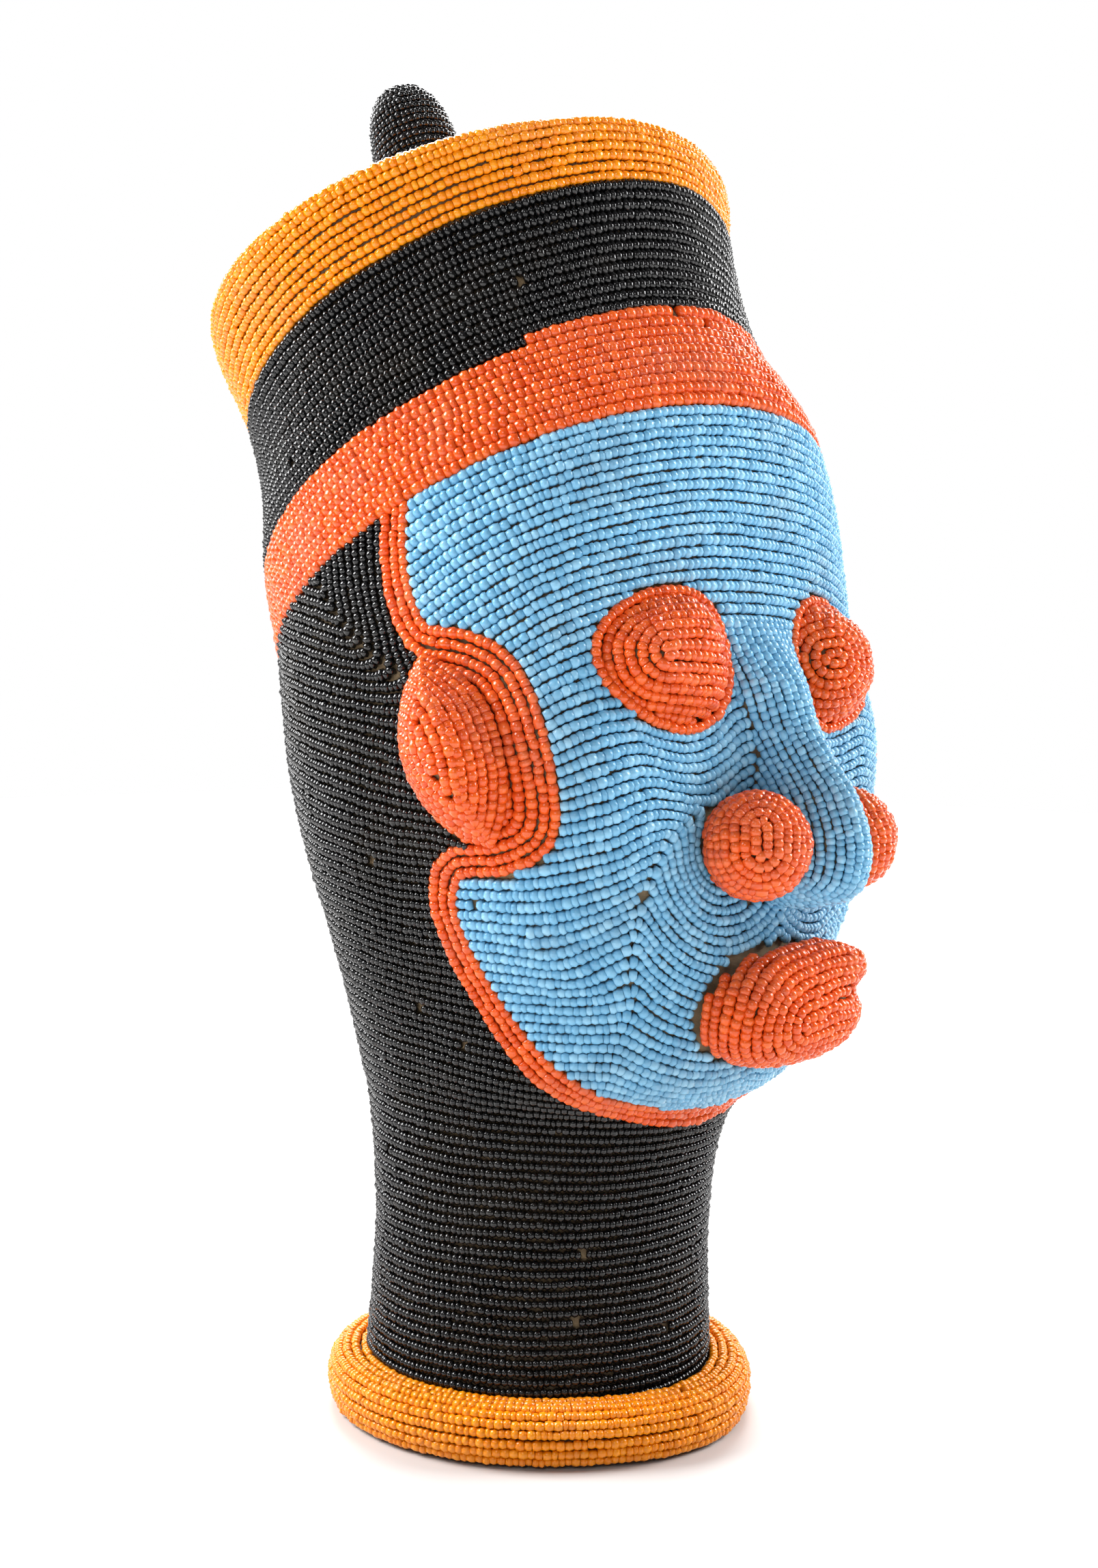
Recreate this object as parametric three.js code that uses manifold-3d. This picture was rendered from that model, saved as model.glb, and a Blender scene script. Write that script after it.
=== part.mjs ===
import * as THREE from 'three';
import { mergeVertices } from 'three/addons/utils/BufferGeometryUtils.js';
import Module from 'manifold-3d';

// A standing head covered with strings of glass beads: a carved form with a round
// foot, a tall neck, a broad face and a flared crown that leans back. Each colour of
// beadwork is a skin of its own over the cloth that wraps the carving.
// Millimetres, +Z up, the face looks along -Y, the origin is under the foot's middle.

// Beadwork
const beadDepth = 2.8;
const seam = 0.3;
const bandGap = 0.015; // between two bands, in levels
const outlineWidth = 8.7;

// Foot
const footRadius = 60.5;
const footHeight = 16.5;
const footEdgeRound = 7;
const footEdgeSteps = 3;
const footBareHem = 1.2;
const footHemBevel = 1.5;

// The head's outer beaded surface, ring by ring. Each ring is a flat oval whose middle
// stands at height and setback, leaning back by lean degrees. square is 2 for an
// ellipse, more for a flatter, broader front and less for a more pointed one.
const rings = [
  { name: 'neckFoot', height: 16, setback: 0, lean: 0, half: 50, front: 50, back: 50, square: 2 },
  { name: 'neck', height: 55, setback: -0.5, lean: 0, half: 48.5, front: 48.5, back: 46.5, square: 2 },
  { name: 'throat', height: 86, setback: -1.5, lean: 0.5, half: 50, front: 54, back: 49.5, square: 2 },
  { name: 'chin', height: 100, setback: -4, lean: 2, half: 54.5, front: 71.5, back: 54, square: 2.3 },
  { name: 'jaw', height: 120, setback: -6.5, lean: 6.5, half: 61, front: 77, back: 58.5, square: 2.5 },
  { name: 'mouth', height: 145, setback: -9, lean: 12, half: 71, front: 78, back: 63, square: 3.3 },
  { name: 'cheek', height: 172, setback: -10.5, lean: 18, half: 80, front: 76, back: 70, square: 3.6 },
  { name: 'brow', height: 200, setback: -8.5, lean: 22, half: 81.5, front: 73, back: 79, square: 3 },
  { name: 'hairline', height: 238.5, setback: -2.5, lean: 28.5, half: 81.5, front: 81, back: 81.5, square: 2.1 },
  { name: 'bandTop', height: 259, setback: 9, lean: 32.5, half: 79.5, front: 80, back: 75.5, square: 1.85 },
  { name: 'waist', height: 280, setback: 15.5, lean: 31, half: 75, front: 78, back: 72.5, square: 1.85 },
  { name: 'rimFoot', height: 300.5, setback: 22.5, lean: 28.5, half: 73.5, front: 80, back: 73.5, square: 1.85 },
  { name: 'rimFlare', height: 319.5, setback: 29, lean: 24.5, half: 80.5, front: 79.5, back: 74.5, square: 1.9 },
  { name: 'rimEdge', height: 323.5, setback: 31, lean: 24.5, half: 76, front: 75, back: 70, square: 1.9 },
  { name: 'top', height: 326.5, setback: 32.5, lean: 24.5, half: 54, front: 53, back: 50, square: 2 },
  { name: 'crestFoot', height: 327.5, setback: 35, lean: 24.5, half: 32, front: 32, back: 32, square: 2 },
];
const ringSteps = 28;
const halfSteps = [['throat', 'hairline'], ['rimFlare', 'rimEdge']];

// Shallow hollows round the eyes and beside the nose
const hollows = [
  { across: 37, height: 205, spreadAcross: 15, spreadUp: 20, depth: 6.5 },
  { across: 20, height: 165, spreadAcross: 12, spreadUp: 16, depth: 6 },
];

// Nose: flat sections of half an oval each, from the brow down to its blunt end
const noseRoot = -62;
const noseArcSteps = 8;
const noseSections = [
  { height: 227, half: 3, front: -77 },
  { height: 218, half: 5.5, front: -83.5 },
  { height: 205, half: 7, front: -89.5 },
  { height: 194, half: 8.5, front: -94 },
  { height: 185, half: 9.5, front: -99.5 },
  { height: 177, half: 10, front: -105 },
  { height: 165, half: 11.5, front: -108.5 },
  { height: 157, half: 13, front: -107.5 },
  { height: 152, half: 13, front: -102 },
];

// The middle line of the three rows that frame the face, seen from the side: down the
// temple, round the front of the ear, down the jaw and out under the chin.
const outlinePath = [
  [-20, 262], [-21, 238], [-24.5, 224], [-31, 215.5], [-43, 213.5], [-53, 208.5],
  [-60, 197], [-63, 181], [-60.5, 167.5], [-50, 161.5], [-36, 159.5], [-29.7, 150],
  [-30.5, 137], [-35, 122], [-43, 107.5], [-52, 97.5], [-58.4, 91], [-66, 81], [-71, 72],
];
const outlineSamples = 24;

// Raised parts. level is a place between the rings, counted from neckFoot, and turn is
// the angle from the front in degrees.
const eye = {
  level: 6.62, turn: 28.5, radius: 21, sink: 8, steps: 16,
  rimHeight: 2.2, rimInner: 19.6, gutter: 17.6, gutterHeight: 1, // the raised ring
  coneRadius: 18.9, coneHeight: 12.5, coneAt: [15, 10.5, 5, 0], // a parabola inside it
};
const nostril = { across: 19.6, front: -89.5, height: 165, radius: 14.2 };
const ear = {
  level: 6.2, turn: 67.8, halfAcross: 15.2, halfUp: 25.5, rise: 15, sink: 9, lean: -21, steps: 16, rows: 4,
};
// The red ground between the ear and the rows that pass in front of it, seen from the side
const earBed = { forward: 6.5, halfAcross: 18, halfUp: 27, samples: 18 };
const lips = {
  aside: 1.5, front: -79, height: 122, half: 28.5, depth: 19.5, halfUp: 16.3, square: 2.4,
  groove: 0.2, grooveAt: 3.5, grooveWidth: 3.2, flare: 0.3, steps: 18, rows: 10,
};
// The crest's radius at shares of its length
const crest = {
  length: 64.5, steps: 16,
  radii: [[0, 31.5], [0.07, 21], [0.17, 17], [0.4, 14.6], [0.66, 13.4], [0.83, 11.8], [0.94, 8.2], [1, 0]],
};

const colours = {
  orange: '#e08a1e', black: '#17181a', red: '#d9552b', blue: '#7fb2d6', cloth: '#8b6b46',
};

const wasm = await Module();
wasm.setup();

const radians = THREE.MathUtils.degToRad;
const levelOf = (name) => rings.findIndex((ring) => ring.name === name);

// Catmull-Rom value between four neighbours
function blend(before, from, to, after, t) {
  const slopeFrom = (to - before) / 2;
  const slopeTo = (after - from) / 2;
  const a = 2 * from - 2 * to + slopeFrom + slopeTo;
  const b = -3 * from + 3 * to - 2 * slopeFrom - slopeTo;
  return ((a * t + b) * t + slopeFrom) * t + from;
}

function ringAt(level) {
  const last = rings.length - 1;
  const i = Math.min(Math.max(Math.floor(level), 0), last - 1);
  const near = [Math.max(i - 1, 0), i, i + 1, Math.min(i + 2, last)].map((k) => rings[k]);
  const ring = {};
  for (const key of ['height', 'setback', 'lean', 'half', 'front', 'back', 'square']) {
    ring[key] = blend(near[0][key], near[1][key], near[2][key], near[3][key], level - i);
  }
  return ring;
}

function ringPoint(ring, radius, turn) {
  const lean = radians(ring.lean);
  const forward = radius * Math.cos(turn);
  return new THREE.Vector3(
    radius * Math.sin(turn),
    ring.setback - forward * Math.cos(lean),
    ring.height + forward * Math.sin(lean),
  );
}

function hollowDepth(point) {
  return hollows.reduce((sum, hollow) => {
    const across = (Math.abs(point.x) - hollow.across) / hollow.spreadAcross;
    const up = (point.z - hollow.height) / hollow.spreadUp;
    return sum + hollow.depth * Math.exp(-0.5 * (across * across + up * up));
  }, 0);
}

// A point of the beaded surface, by level and by turn from the front
function surfacePoint(level, turn) {
  const ring = ringAt(level);
  const faces = Math.cos(turn) > 0;
  const depth = faces ? ring.front : ring.back;
  const square = faces ? ring.square : 2;
  const sum = Math.abs(Math.sin(turn) / ring.half) ** square + Math.abs(Math.cos(turn) / depth) ** square;
  const radius = sum ** (-1 / square);
  const point = ringPoint(ring, radius, turn);
  return faces ? ringPoint(ring, radius - hollowDepth(point), turn) : point;
}

function surfaceNormal(level, turn) {
  const step = 0.02;
  const last = rings.length - 1;
  const up = surfacePoint(Math.min(level + step, last), turn)
    .sub(surfacePoint(Math.max(level - step, 0), turn));
  const along = surfacePoint(level, turn + step).sub(surfacePoint(level, turn - step));
  return along.cross(up).normalize();
}

// One closed ring of points, set in or out from the beaded surface
function surfaceRing(level, offset, drop = 0) {
  return Array.from({ length: ringSteps }, (_, i) => {
    const turn = (i / ringSteps) * 2 * Math.PI;
    const point = surfacePoint(level, turn).addScaledVector(surfaceNormal(level, turn), offset);
    point.z -= drop;
    return point;
  });
}

// The ends and every ring between them, with a half step where the form turns fast
function levelsBetween(from, to) {
  const clear = 0.1;
  const levels = rings.map((ring, level) => level);
  for (const [first, last] of halfSteps) {
    for (let level = levelOf(first); level < levelOf(last); level += 1) levels.push(level + 0.5);
  }
  const inner = levels.filter((level) => level > from + clear && level < to - clear);
  return [from, ...inner.sort((a, b) => a - b), to];
}

// A closed mesh from rings of equal length, with a fan at each end or, when it is
// looped, with the last ring joined to the first. The second half of a looped mesh is
// the inner wall, whose cells are split along the same diagonal as the outer ones.
function ringsToGeometry(loops, looped = false) {
  const count = loops[0].length;
  const points = loops.flat();
  const index = [];
  const bands = looped ? loops.length : loops.length - 1;
  for (let j = 0; j < bands; j += 1) {
    const next = (j + 1) % loops.length;
    for (let i = 0; i < count; i += 1) {
      const k = (i + 1) % count;
      const corners = [j * count + i, j * count + k, next * count + k, next * count + i];
      const order = looped && j >= loops.length / 2 ? [0, 1, 3, 1, 2, 3] : [0, 1, 2, 0, 2, 3];
      index.push(...order.map((corner) => corners[corner]));
    }
  }
  if (!looped) {
    const ends = [[loops[0], 0, true], [loops.at(-1), (loops.length - 1) * count, false]];
    for (const [loop, first, start] of ends) {
      const middle = loop.reduce((sum, p) => sum.add(p), new THREE.Vector3()).divideScalar(count);
      points.push(middle);
      for (let i = 0; i < count; i += 1) {
        const a = first + i;
        const b = first + ((i + 1) % count);
        index.push(points.length - 1, ...(start ? [b, a] : [a, b]));
      }
    }
  }
  const geometry = new THREE.BufferGeometry().setFromPoints(points);
  geometry.setIndex(index);
  return geometry;
}

function toSolid(geometry) {
  const bare = geometry.clone();
  bare.deleteAttribute('normal');
  bare.deleteAttribute('uv');
  const merged = mergeVertices(bare, 1e-4);
  return new wasm.Manifold(new wasm.Mesh({
    numProp: 3,
    vertProperties: new Float32Array(merged.attributes.position.array),
    triVerts: new Uint32Array(merged.index.array),
  }));
}

function toGeometry(solid) {
  const mesh = solid.getMesh();
  const geometry = new THREE.BufferGeometry();
  geometry.setAttribute('position', new THREE.BufferAttribute(new Float32Array(mesh.vertProperties), 3));
  geometry.setIndex(new THREE.BufferAttribute(new Uint32Array(mesh.triVerts), 1));
  return geometry;
}

// The head as one closed solid, set in from the beaded surface by inset
function headSolid(inset) {
  const loops = levelsBetween(0, rings.length - 1).map((level) => surfaceRing(level, -inset));
  loops.unshift(surfaceRing(0, -inset, footHeight / 2));
  return toSolid(ringsToGeometry(loops)).add(noseSolid(inset));
}

function noseSolid(inset) {
  const loops = noseSections.map((section, i) => {
    const last = i === noseSections.length - 1;
    const half = section.half - inset;
    const front = section.front + inset;
    return Array.from({ length: noseArcSteps + 1 }, (_, k) => {
      const t = (k / noseArcSteps - 0.5) * Math.PI;
      return new THREE.Vector3(
        Math.max(half, 1) * Math.sin(t),
        noseRoot - (noseRoot - front) * Math.cos(t),
        section.height + (last ? inset : 0),
      );
    });
  });
  return toSolid(ringsToGeometry(loops.reverse()));
}

// A band of beadwork that runs round the head between two levels
function bandGeometry(from, to) {
  const levels = levelsBetween(from, to);
  const outer = levels.map((level) => surfaceRing(level, 0));
  const inner = levels.map((level) => surfaceRing(level, seam - beadDepth)).reverse();
  return ringsToGeometry([...outer, ...inner], true);
}

function footProfile(inset) {
  const radius = footRadius - inset;
  const top = footHeight - inset;
  const round = footEdgeRound - inset / 2;
  const profile = [];
  for (let i = 0; i <= footEdgeSteps; i += 1) {
    const t = (i / footEdgeSteps) * (Math.PI / 2);
    profile.push([radius - round + round * Math.cos(t), top - round + round * Math.sin(t)]);
  }
  return profile;
}

function lathe(profile, steps) {
  const points = profile.map(([radius, height]) => new THREE.Vector2(radius, height));
  return new THREE.LatheGeometry(points, steps).rotateX(Math.PI / 2);
}

function footCore() {
  const radius = footRadius - beadDepth;
  const profile = [[0, 0], [radius - footHemBevel, 0], [radius, footHemBevel]];
  return toSolid(lathe([...profile, ...footProfile(beadDepth), [0, footHeight - beadDepth]], ringSteps));
}

function footBeads() {
  const neckRadius = rings[0].half + seam;
  const outer = [[footRadius, footBareHem], ...footProfile(0), [neckRadius, footHeight]];
  const inset = beadDepth - seam;
  const inner = [[footRadius - inset, footBareHem], ...footProfile(inset), [neckRadius, footHeight - inset]];
  return lathe([...outer, ...inner.reverse(), outer[0]], ringSteps);
}

// Turns a solid drawn about the origin with its axis along +Z to stand on the head
function standOn(geometry, point, normal, lean = 0) {
  const up = new THREE.Vector3(0, 0, 1);
  const side = up.clone().cross(normal).normalize();
  const rise = normal.clone().cross(side).normalize();
  rise.applyAxisAngle(normal, radians(lean));
  side.applyAxisAngle(normal, radians(lean));
  const frame = new THREE.Matrix4().makeBasis(side, rise, normal).setPosition(point);
  return geometry.clone().applyMatrix4(frame);
}

// An eye is a rim ring round a blunt cone. Its clearance is a plain drum, so that no
// shred of the cheek is left over the rim.
function eyeSolid(side, grow) {
  const edge = eye.radius + grow;
  const rim = [[edge, eye.rimHeight / 2], [eye.rimInner, eye.rimHeight], [eye.gutter, eye.gutterHeight]];
  const cone = eye.coneAt.map((r) => [r, eye.coneHeight * (1 - (r / eye.coneRadius) ** 2)]);
  const drum = [[edge, eye.coneHeight], [0, eye.coneHeight]];
  const profile = grow > 0 ? drum : [...rim, ...cone];
  const shape = lathe([[0, -eye.sink], [edge, -eye.sink], ...profile], eye.steps);
  const turn = radians(side * eye.turn);
  return toSolid(standOn(shape, surfacePoint(eye.level, turn), surfaceNormal(eye.level, turn)));
}

function nostrilSolid(side, grow) {
  const ball = new THREE.IcosahedronGeometry(nostril.radius + grow, 2);
  return toSolid(ball.translate(side * nostril.across, nostril.front, nostril.height));
}

function earSolid(side, grow) {
  const loops = [];
  const pointedRing = (scale, height) => Array.from({ length: ear.steps }, (_, i) => {
    const t = (i / ear.steps) * 2 * Math.PI;
    return new THREE.Vector3(
      (ear.halfAcross + grow) * scale * Math.cos(t) * Math.abs(Math.cos(t)),
      (ear.halfUp + grow) * scale * Math.sin(t),
      height,
    );
  });
  loops.push(pointedRing(1, -ear.sink));
  for (let row = 0; row < ear.rows; row += 1) {
    const t = (row / ear.rows) * (Math.PI / 2);
    loops.push(pointedRing(Math.cos(t), (ear.rise + grow) * Math.sin(t)));
  }
  const turn = radians(side * ear.turn);
  const shape = ringsToGeometry(loops);
  return toSolid(standOn(shape, surfacePoint(ear.level, turn), surfaceNormal(ear.level, turn), side * ear.lean));
}

// The lips are one rounded mass with a groove that opens towards one corner
function lipsSolid(grow) {
  const power = 2 / lips.square;
  const bend = (value) => Math.sign(value) * Math.abs(value) ** power;
  const loops = [];
  for (let row = 1; row < lips.rows; row += 1) {
    const v = (row / lips.rows - 0.5) * Math.PI;
    loops.push(Array.from({ length: lips.steps }, (_, i) => {
      const u = (i / lips.steps) * 2 * Math.PI;
      const height = (lips.halfUp + grow) * bend(Math.sin(v));
      const across = (lips.half + grow) * bend(Math.sin(u)) * bend(Math.cos(v));
      const notch = ((height - lips.grooveAt) / lips.grooveWidth) ** 2;
      const open = THREE.MathUtils.smoothstep(across, 0, lips.half);
      const lobe = THREE.MathUtils.clamp((height - lips.grooveAt) / lips.halfUp, 0, 1);
      const shape = 1 + open * (lips.flare * lobe - lips.groove * Math.exp(-notch));
      const depth = (lips.depth + grow) * shape;
      return new THREE.Vector3(across, -depth * bend(Math.cos(u)) * bend(Math.cos(v)), height);
    }));
  }
  return toSolid(ringsToGeometry(loops).translate(lips.aside, lips.front, lips.height));
}

function crestSolid() {
  const [foot, ...sides] = crest.radii.map(([share, radius]) => [radius, share * crest.length]);
  const profile = [[0, seam - beadDepth], [foot[0], seam - beadDepth], foot, ...sides];
  const ring = rings.at(-1);
  const lean = radians(ring.lean);
  const point = new THREE.Vector3(0, ring.setback, ring.height);
  const frame = new THREE.Matrix4().makeRotationX(-lean).setPosition(point);
  return toSolid(lathe(profile, crest.steps).applyMatrix4(frame));
}

// The side-view outline moved sideways by offset, towards the face when positive
function outlineEdge(offset) {
  const curve = new THREE.SplineCurve(outlinePath.map(([y, z]) => new THREE.Vector2(y, z)));
  return Array.from({ length: outlineSamples + 1 }, (_, i) => {
    const point = curve.getPointAt(i / outlineSamples);
    const along = curve.getTangentAt(i / outlineSamples);
    return new THREE.Vector2(point.x + offset * along.y, point.y - offset * along.x);
  });
}

// A solid that spans the head from side to side, drawn in the side view
function sidePrism(points) {
  const reach = 120;
  const shape = new THREE.Shape(points);
  const geometry = new THREE.ExtrudeGeometry(shape, { depth: 2 * reach, bevelEnabled: false, steps: 1 });
  geometry.translate(0, 0, -reach);
  const across = new THREE.Vector3(1, 0, 0);
  const back = new THREE.Vector3(0, 1, 0);
  const up = new THREE.Vector3(0, 0, 1);
  return toSolid(geometry.applyMatrix4(new THREE.Matrix4().makeBasis(back, up, across)));
}

function earBedPrism(grow) {
  const middle = surfacePoint(ear.level, radians(ear.turn));
  return sidePrism(Array.from({ length: earBed.samples }, (_, i) => {
    const t = (i / earBed.samples) * 2 * Math.PI;
    return new THREE.Vector2(
      middle.y - earBed.forward + (earBed.halfAcross + grow) * Math.cos(t),
      middle.z + (earBed.halfUp + grow) * Math.sin(t),
    );
  }));
}

function mesh(name, geometry, colour, roughness = 0.35) {
  const material = new THREE.MeshStandardMaterial({ color: colour, roughness, metalness: 0 });
  const result = new THREE.Mesh(geometry, material);
  result.name = name;
  return result;
}

const headGap = headSolid(beadDepth - seam);
const raised = (grow) => [1, -1].flatMap((side) => [
  eyeSolid(side, grow), nostrilSolid(side, grow), earSolid(side, grow),
]).concat(lipsSolid(grow));
const clearance = raised(seam).reduce((sum, solid) => sum.add(solid));

// The lower skin, from the foot to the headband, before it is parted by colour
const lowerSkin = toSolid(bandGeometry(bandGap, levelOf('hairline') - bandGap / 2))
  .subtract(noseSolid(beadDepth - seam))
  .add(noseSolid(0).subtract(headGap));

const sideReach = 150;
const sideTop = 320;
const halfOutline = outlineWidth / 2;
const faceEdge = outlineEdge(halfOutline + seam / 2);
const facePrism = sidePrism([...faceEdge,
  new THREE.Vector2(-sideReach, faceEdge.at(-1).y), new THREE.Vector2(-sideReach, sideTop),
  new THREE.Vector2(faceEdge[0].x, sideTop)]);
const stripPrism = sidePrism([
  ...outlineEdge(halfOutline - seam / 2), ...outlineEdge(seam / 2 - halfOutline).reverse(),
]);
const backEdge = outlineEdge(-halfOutline - seam / 2);
const backPrism = sidePrism([...backEdge,
  new THREE.Vector2(-sideReach, backEdge.at(-1).y), new THREE.Vector2(-sideReach, 0),
  new THREE.Vector2(sideReach, 0), new THREE.Vector2(sideReach, sideTop),
  new THREE.Vector2(backEdge[0].x, sideTop)]);

const head = new THREE.Group();
head.add(mesh('carved_head', toGeometry(headSolid(beadDepth).add(footCore())), colours.cloth, 0.9));
head.add(mesh('foot_beads', footBeads(), colours.orange));
const lowerParts = [
  ['neck_and_back_beads', backPrism.subtract(earBedPrism(seam)), colours.black],
  ['face_outline_beads', stripPrism.add(earBedPrism(0).subtract(facePrism)), colours.red],
  ['face_beads', facePrism, colours.blue],
];
for (const [name, prism, colour] of lowerParts) {
  head.add(mesh(name, toGeometry(lowerSkin.intersect(prism).subtract(clearance)), colour));
}

const bands = [
  ['headband_beads', 'hairline', 'bandTop', colours.red],
  ['crown_band_beads', 'bandTop', 'rimFoot', colours.black],
  ['crown_rim_beads', 'rimFoot', 'crestFoot', colours.orange],
];
for (const [name, from, to, colour] of bands) {
  head.add(mesh(name, bandGeometry(levelOf(from) + bandGap, levelOf(to) - bandGap), colour));
}

for (const [label, side] of [['left', 1], ['right', -1]]) {
  const parts = [['eye', eyeSolid], ['nostril', nostrilSolid], ['ear', earSolid]];
  for (const [name, make] of parts) {
    head.add(mesh(`${name}_${label}`, toGeometry(make(side, 0).subtract(headGap)), colours.red));
  }
}
head.add(mesh('lips', toGeometry(lipsSolid(0).subtract(headGap)), colours.red));
head.add(mesh('crest', toGeometry(crestSolid()), colours.black));

export default head;
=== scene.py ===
"""A standing head covered with strings of glass beads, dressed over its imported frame.

Sizes are in millimetres until a mesh is made. +Z is up and the face looks along -Y. Every row of
beads follows a line of its own on the head's surface, and each bead is laid out singly.
"""
import logging
import math
from dataclasses import dataclass, field, replace
from enum import Enum, IntEnum

import bpy
import numpy as np
from mathutils import Matrix, Vector
from mathutils.bvhtree import BVHTree


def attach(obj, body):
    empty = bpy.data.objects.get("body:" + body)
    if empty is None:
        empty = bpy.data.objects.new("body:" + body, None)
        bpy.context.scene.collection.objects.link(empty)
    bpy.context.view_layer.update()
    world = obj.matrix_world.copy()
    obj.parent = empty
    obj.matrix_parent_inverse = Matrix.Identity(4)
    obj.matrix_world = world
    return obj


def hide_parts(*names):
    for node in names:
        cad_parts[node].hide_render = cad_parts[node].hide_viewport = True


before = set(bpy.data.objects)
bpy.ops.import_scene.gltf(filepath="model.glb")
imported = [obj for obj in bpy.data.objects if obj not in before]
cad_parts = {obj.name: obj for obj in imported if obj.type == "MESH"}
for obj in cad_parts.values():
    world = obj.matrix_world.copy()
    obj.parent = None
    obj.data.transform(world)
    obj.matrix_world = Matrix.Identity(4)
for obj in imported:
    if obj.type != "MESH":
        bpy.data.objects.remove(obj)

Array = np.ndarray
Colour = tuple[float, float, float]

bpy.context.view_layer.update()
MM = 0.001
BODY = "root"
log = logging.getLogger("beaded_head")

# What each bead brings to the needle's tree, and how far it may tilt, in radians
BEAD_COLUMNS = ("along", "out", "size")
TILT = 0.09
# How far beads narrow or widen where their rows close up or part, as shares of their width
NARROWEST, WIDEST = 0.86, 1.25
# How far outside a field its rows are still made even, and a depth that means nowhere near it
EVENED_MARGIN = 4.0
FAR_OUTSIDE = -99.0


class Slot(Enum):
    """The record's material slots."""

    CLOTH = "cloth"
    ORANGE = "orange_beads"
    BLACK = "black_beads"
    RED = "red_beads"
    BLUE = "blue_beads"


class Side(IntEnum):
    """The head's own left, towards +X, and its right."""

    LEFT = 1
    RIGHT = -1


# Small helpers for vectors and curves


def unit(vectors: Array) -> Array:
    """Vectors of length one."""
    return vectors / np.maximum(np.linalg.norm(vectors, axis=-1, keepdims=True), 1e-9)


def soft_min(a: Array, b: Array, spread: float) -> Array:
    """The smaller of two fields, with the crease between them rounded over spread."""
    near = np.clip(0.5 + 0.5 * (b - a) / spread, 0, 1)
    return b + (a - b) * near - spread * near * (1 - near)


def through(points: Array, at: Array) -> Array:
    """A smooth curve through points.

    Args:
        points: one row for each point, of any number of columns.
        at: places on the curve, counted in points from the first.

    Returns:
        One row for each place.
    """
    last = len(points) - 1
    i = np.clip(np.floor(at).astype(int), 0, last - 1)
    t = (at - i)[..., None]
    before, start = points[np.maximum(i - 1, 0)], points[i]
    end, after = points[i + 1], points[np.minimum(i + 2, last)]
    leave, arrive = (end - before) / 2, (after - start) / 2
    a = 2 * start - 2 * end + leave + arrive
    b = -3 * start + 3 * end - 2 * leave - arrive
    return ((a * t + b) * t + leave) * t + start


def ripple(points: Array, size: float, seed: int) -> Array:
    """A slow wave over space, between about -1 and 1.

    Args:
        points: places in space, three numbers each.
        size: the length of a wave.
        seed: which wave.

    Returns:
        One number for each place.
    """
    chance = np.random.default_rng(seed)
    total = np.zeros(points.shape[:-1])
    waves = 5
    for _ in range(waves):
        run = unit(chance.normal(size=3)) * 2 * math.pi / (size * chance.uniform(0.7, 1.6))
        total += np.sin(points @ run + chance.uniform(0, 2 * math.pi))
    return total / math.sqrt(waves)


@dataclass
class Wiring:
    """Adds nodes to a tree, with their settings and what goes into them."""

    tree: bpy.types.NodeTree

    def add(self, kind: str, inputs: dict | None = None, **settings: object) -> bpy.types.Node:
        """Makes one node.

        Args:
            kind: the node's type.
            inputs: a value or an output socket for each named or numbered input.
            settings: the node's own properties.

        Returns:
            The node.
        """
        node = self.tree.nodes.new(kind)
        for name, value in settings.items():
            setattr(node, name, value)
        self.feed(node, inputs or {})
        return node

    def feed(self, node: bpy.types.Node, inputs: dict) -> None:
        """Sets a node's inputs to values, or links them to output sockets.

        Args:
            node: the node.
            inputs: a value or an output socket for each named or numbered input.
        """
        for socket, value in inputs.items():
            if isinstance(value, bpy.types.NodeSocket):
                self.tree.links.new(value, node.inputs[socket])
            else:
                node.inputs[socket].default_value = value


def placed(name: str, data: bpy.types.ID) -> bpy.types.Object:
    """A new object in the scene.

    Args:
        name: the object's name.
        data: its mesh, lamp or camera.

    Returns:
        The object.
    """
    made = bpy.data.objects.new(name, data)
    bpy.context.scene.collection.objects.link(made)
    return made


# Finishes


def grime_group() -> bpy.types.ShaderNodeTree:
    """A node group that gives dust and handling marks, as a mask that changes over the surface.

    Returns:
        The group, with the size of a patch and the amount as inputs.
    """
    tree = bpy.data.node_groups.new("grime", "ShaderNodeTree")
    tree.interface.new_socket("Patch Size", in_out="INPUT", socket_type="NodeSocketFloat")
    tree.interface.new_socket("Amount", in_out="INPUT", socket_type="NodeSocketFloat")
    tree.interface.new_socket("Mask", in_out="OUTPUT", socket_type="NodeSocketFloat")
    wiring = Wiring(tree)
    given = wiring.add("NodeGroupInput")
    place = wiring.add("ShaderNodeTexCoord")
    patches = wiring.add("ShaderNodeTexNoise", {
        "Vector": place.outputs["Object"], "Scale": given.outputs["Patch Size"],
        "Detail": 5.0, "Roughness": 0.65})
    picked = wiring.add("ShaderNodeMapRange", {
        "Value": patches.outputs["Fac"], "From Min": 0.5, "From Max": 0.78})
    mask = wiring.add("ShaderNodeMath", {
        0: picked.outputs["Result"], 1: given.outputs["Amount"]}, operation="MULTIPLY")
    wiring.add("NodeGroupOutput", {"Mask": mask.outputs["Value"]})
    return tree


def blank_material(name: str) -> tuple[bpy.types.Material, Wiring, bpy.types.Node]:
    """A new material, the wiring of its nodes, and its shader.

    Args:
        name: the material's name.

    Returns:
        The three of them.
    """
    made = bpy.data.materials.new(name)
    made.use_nodes = True
    return made, Wiring(made.node_tree), made.node_tree.nodes["Principled BSDF"]


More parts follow.
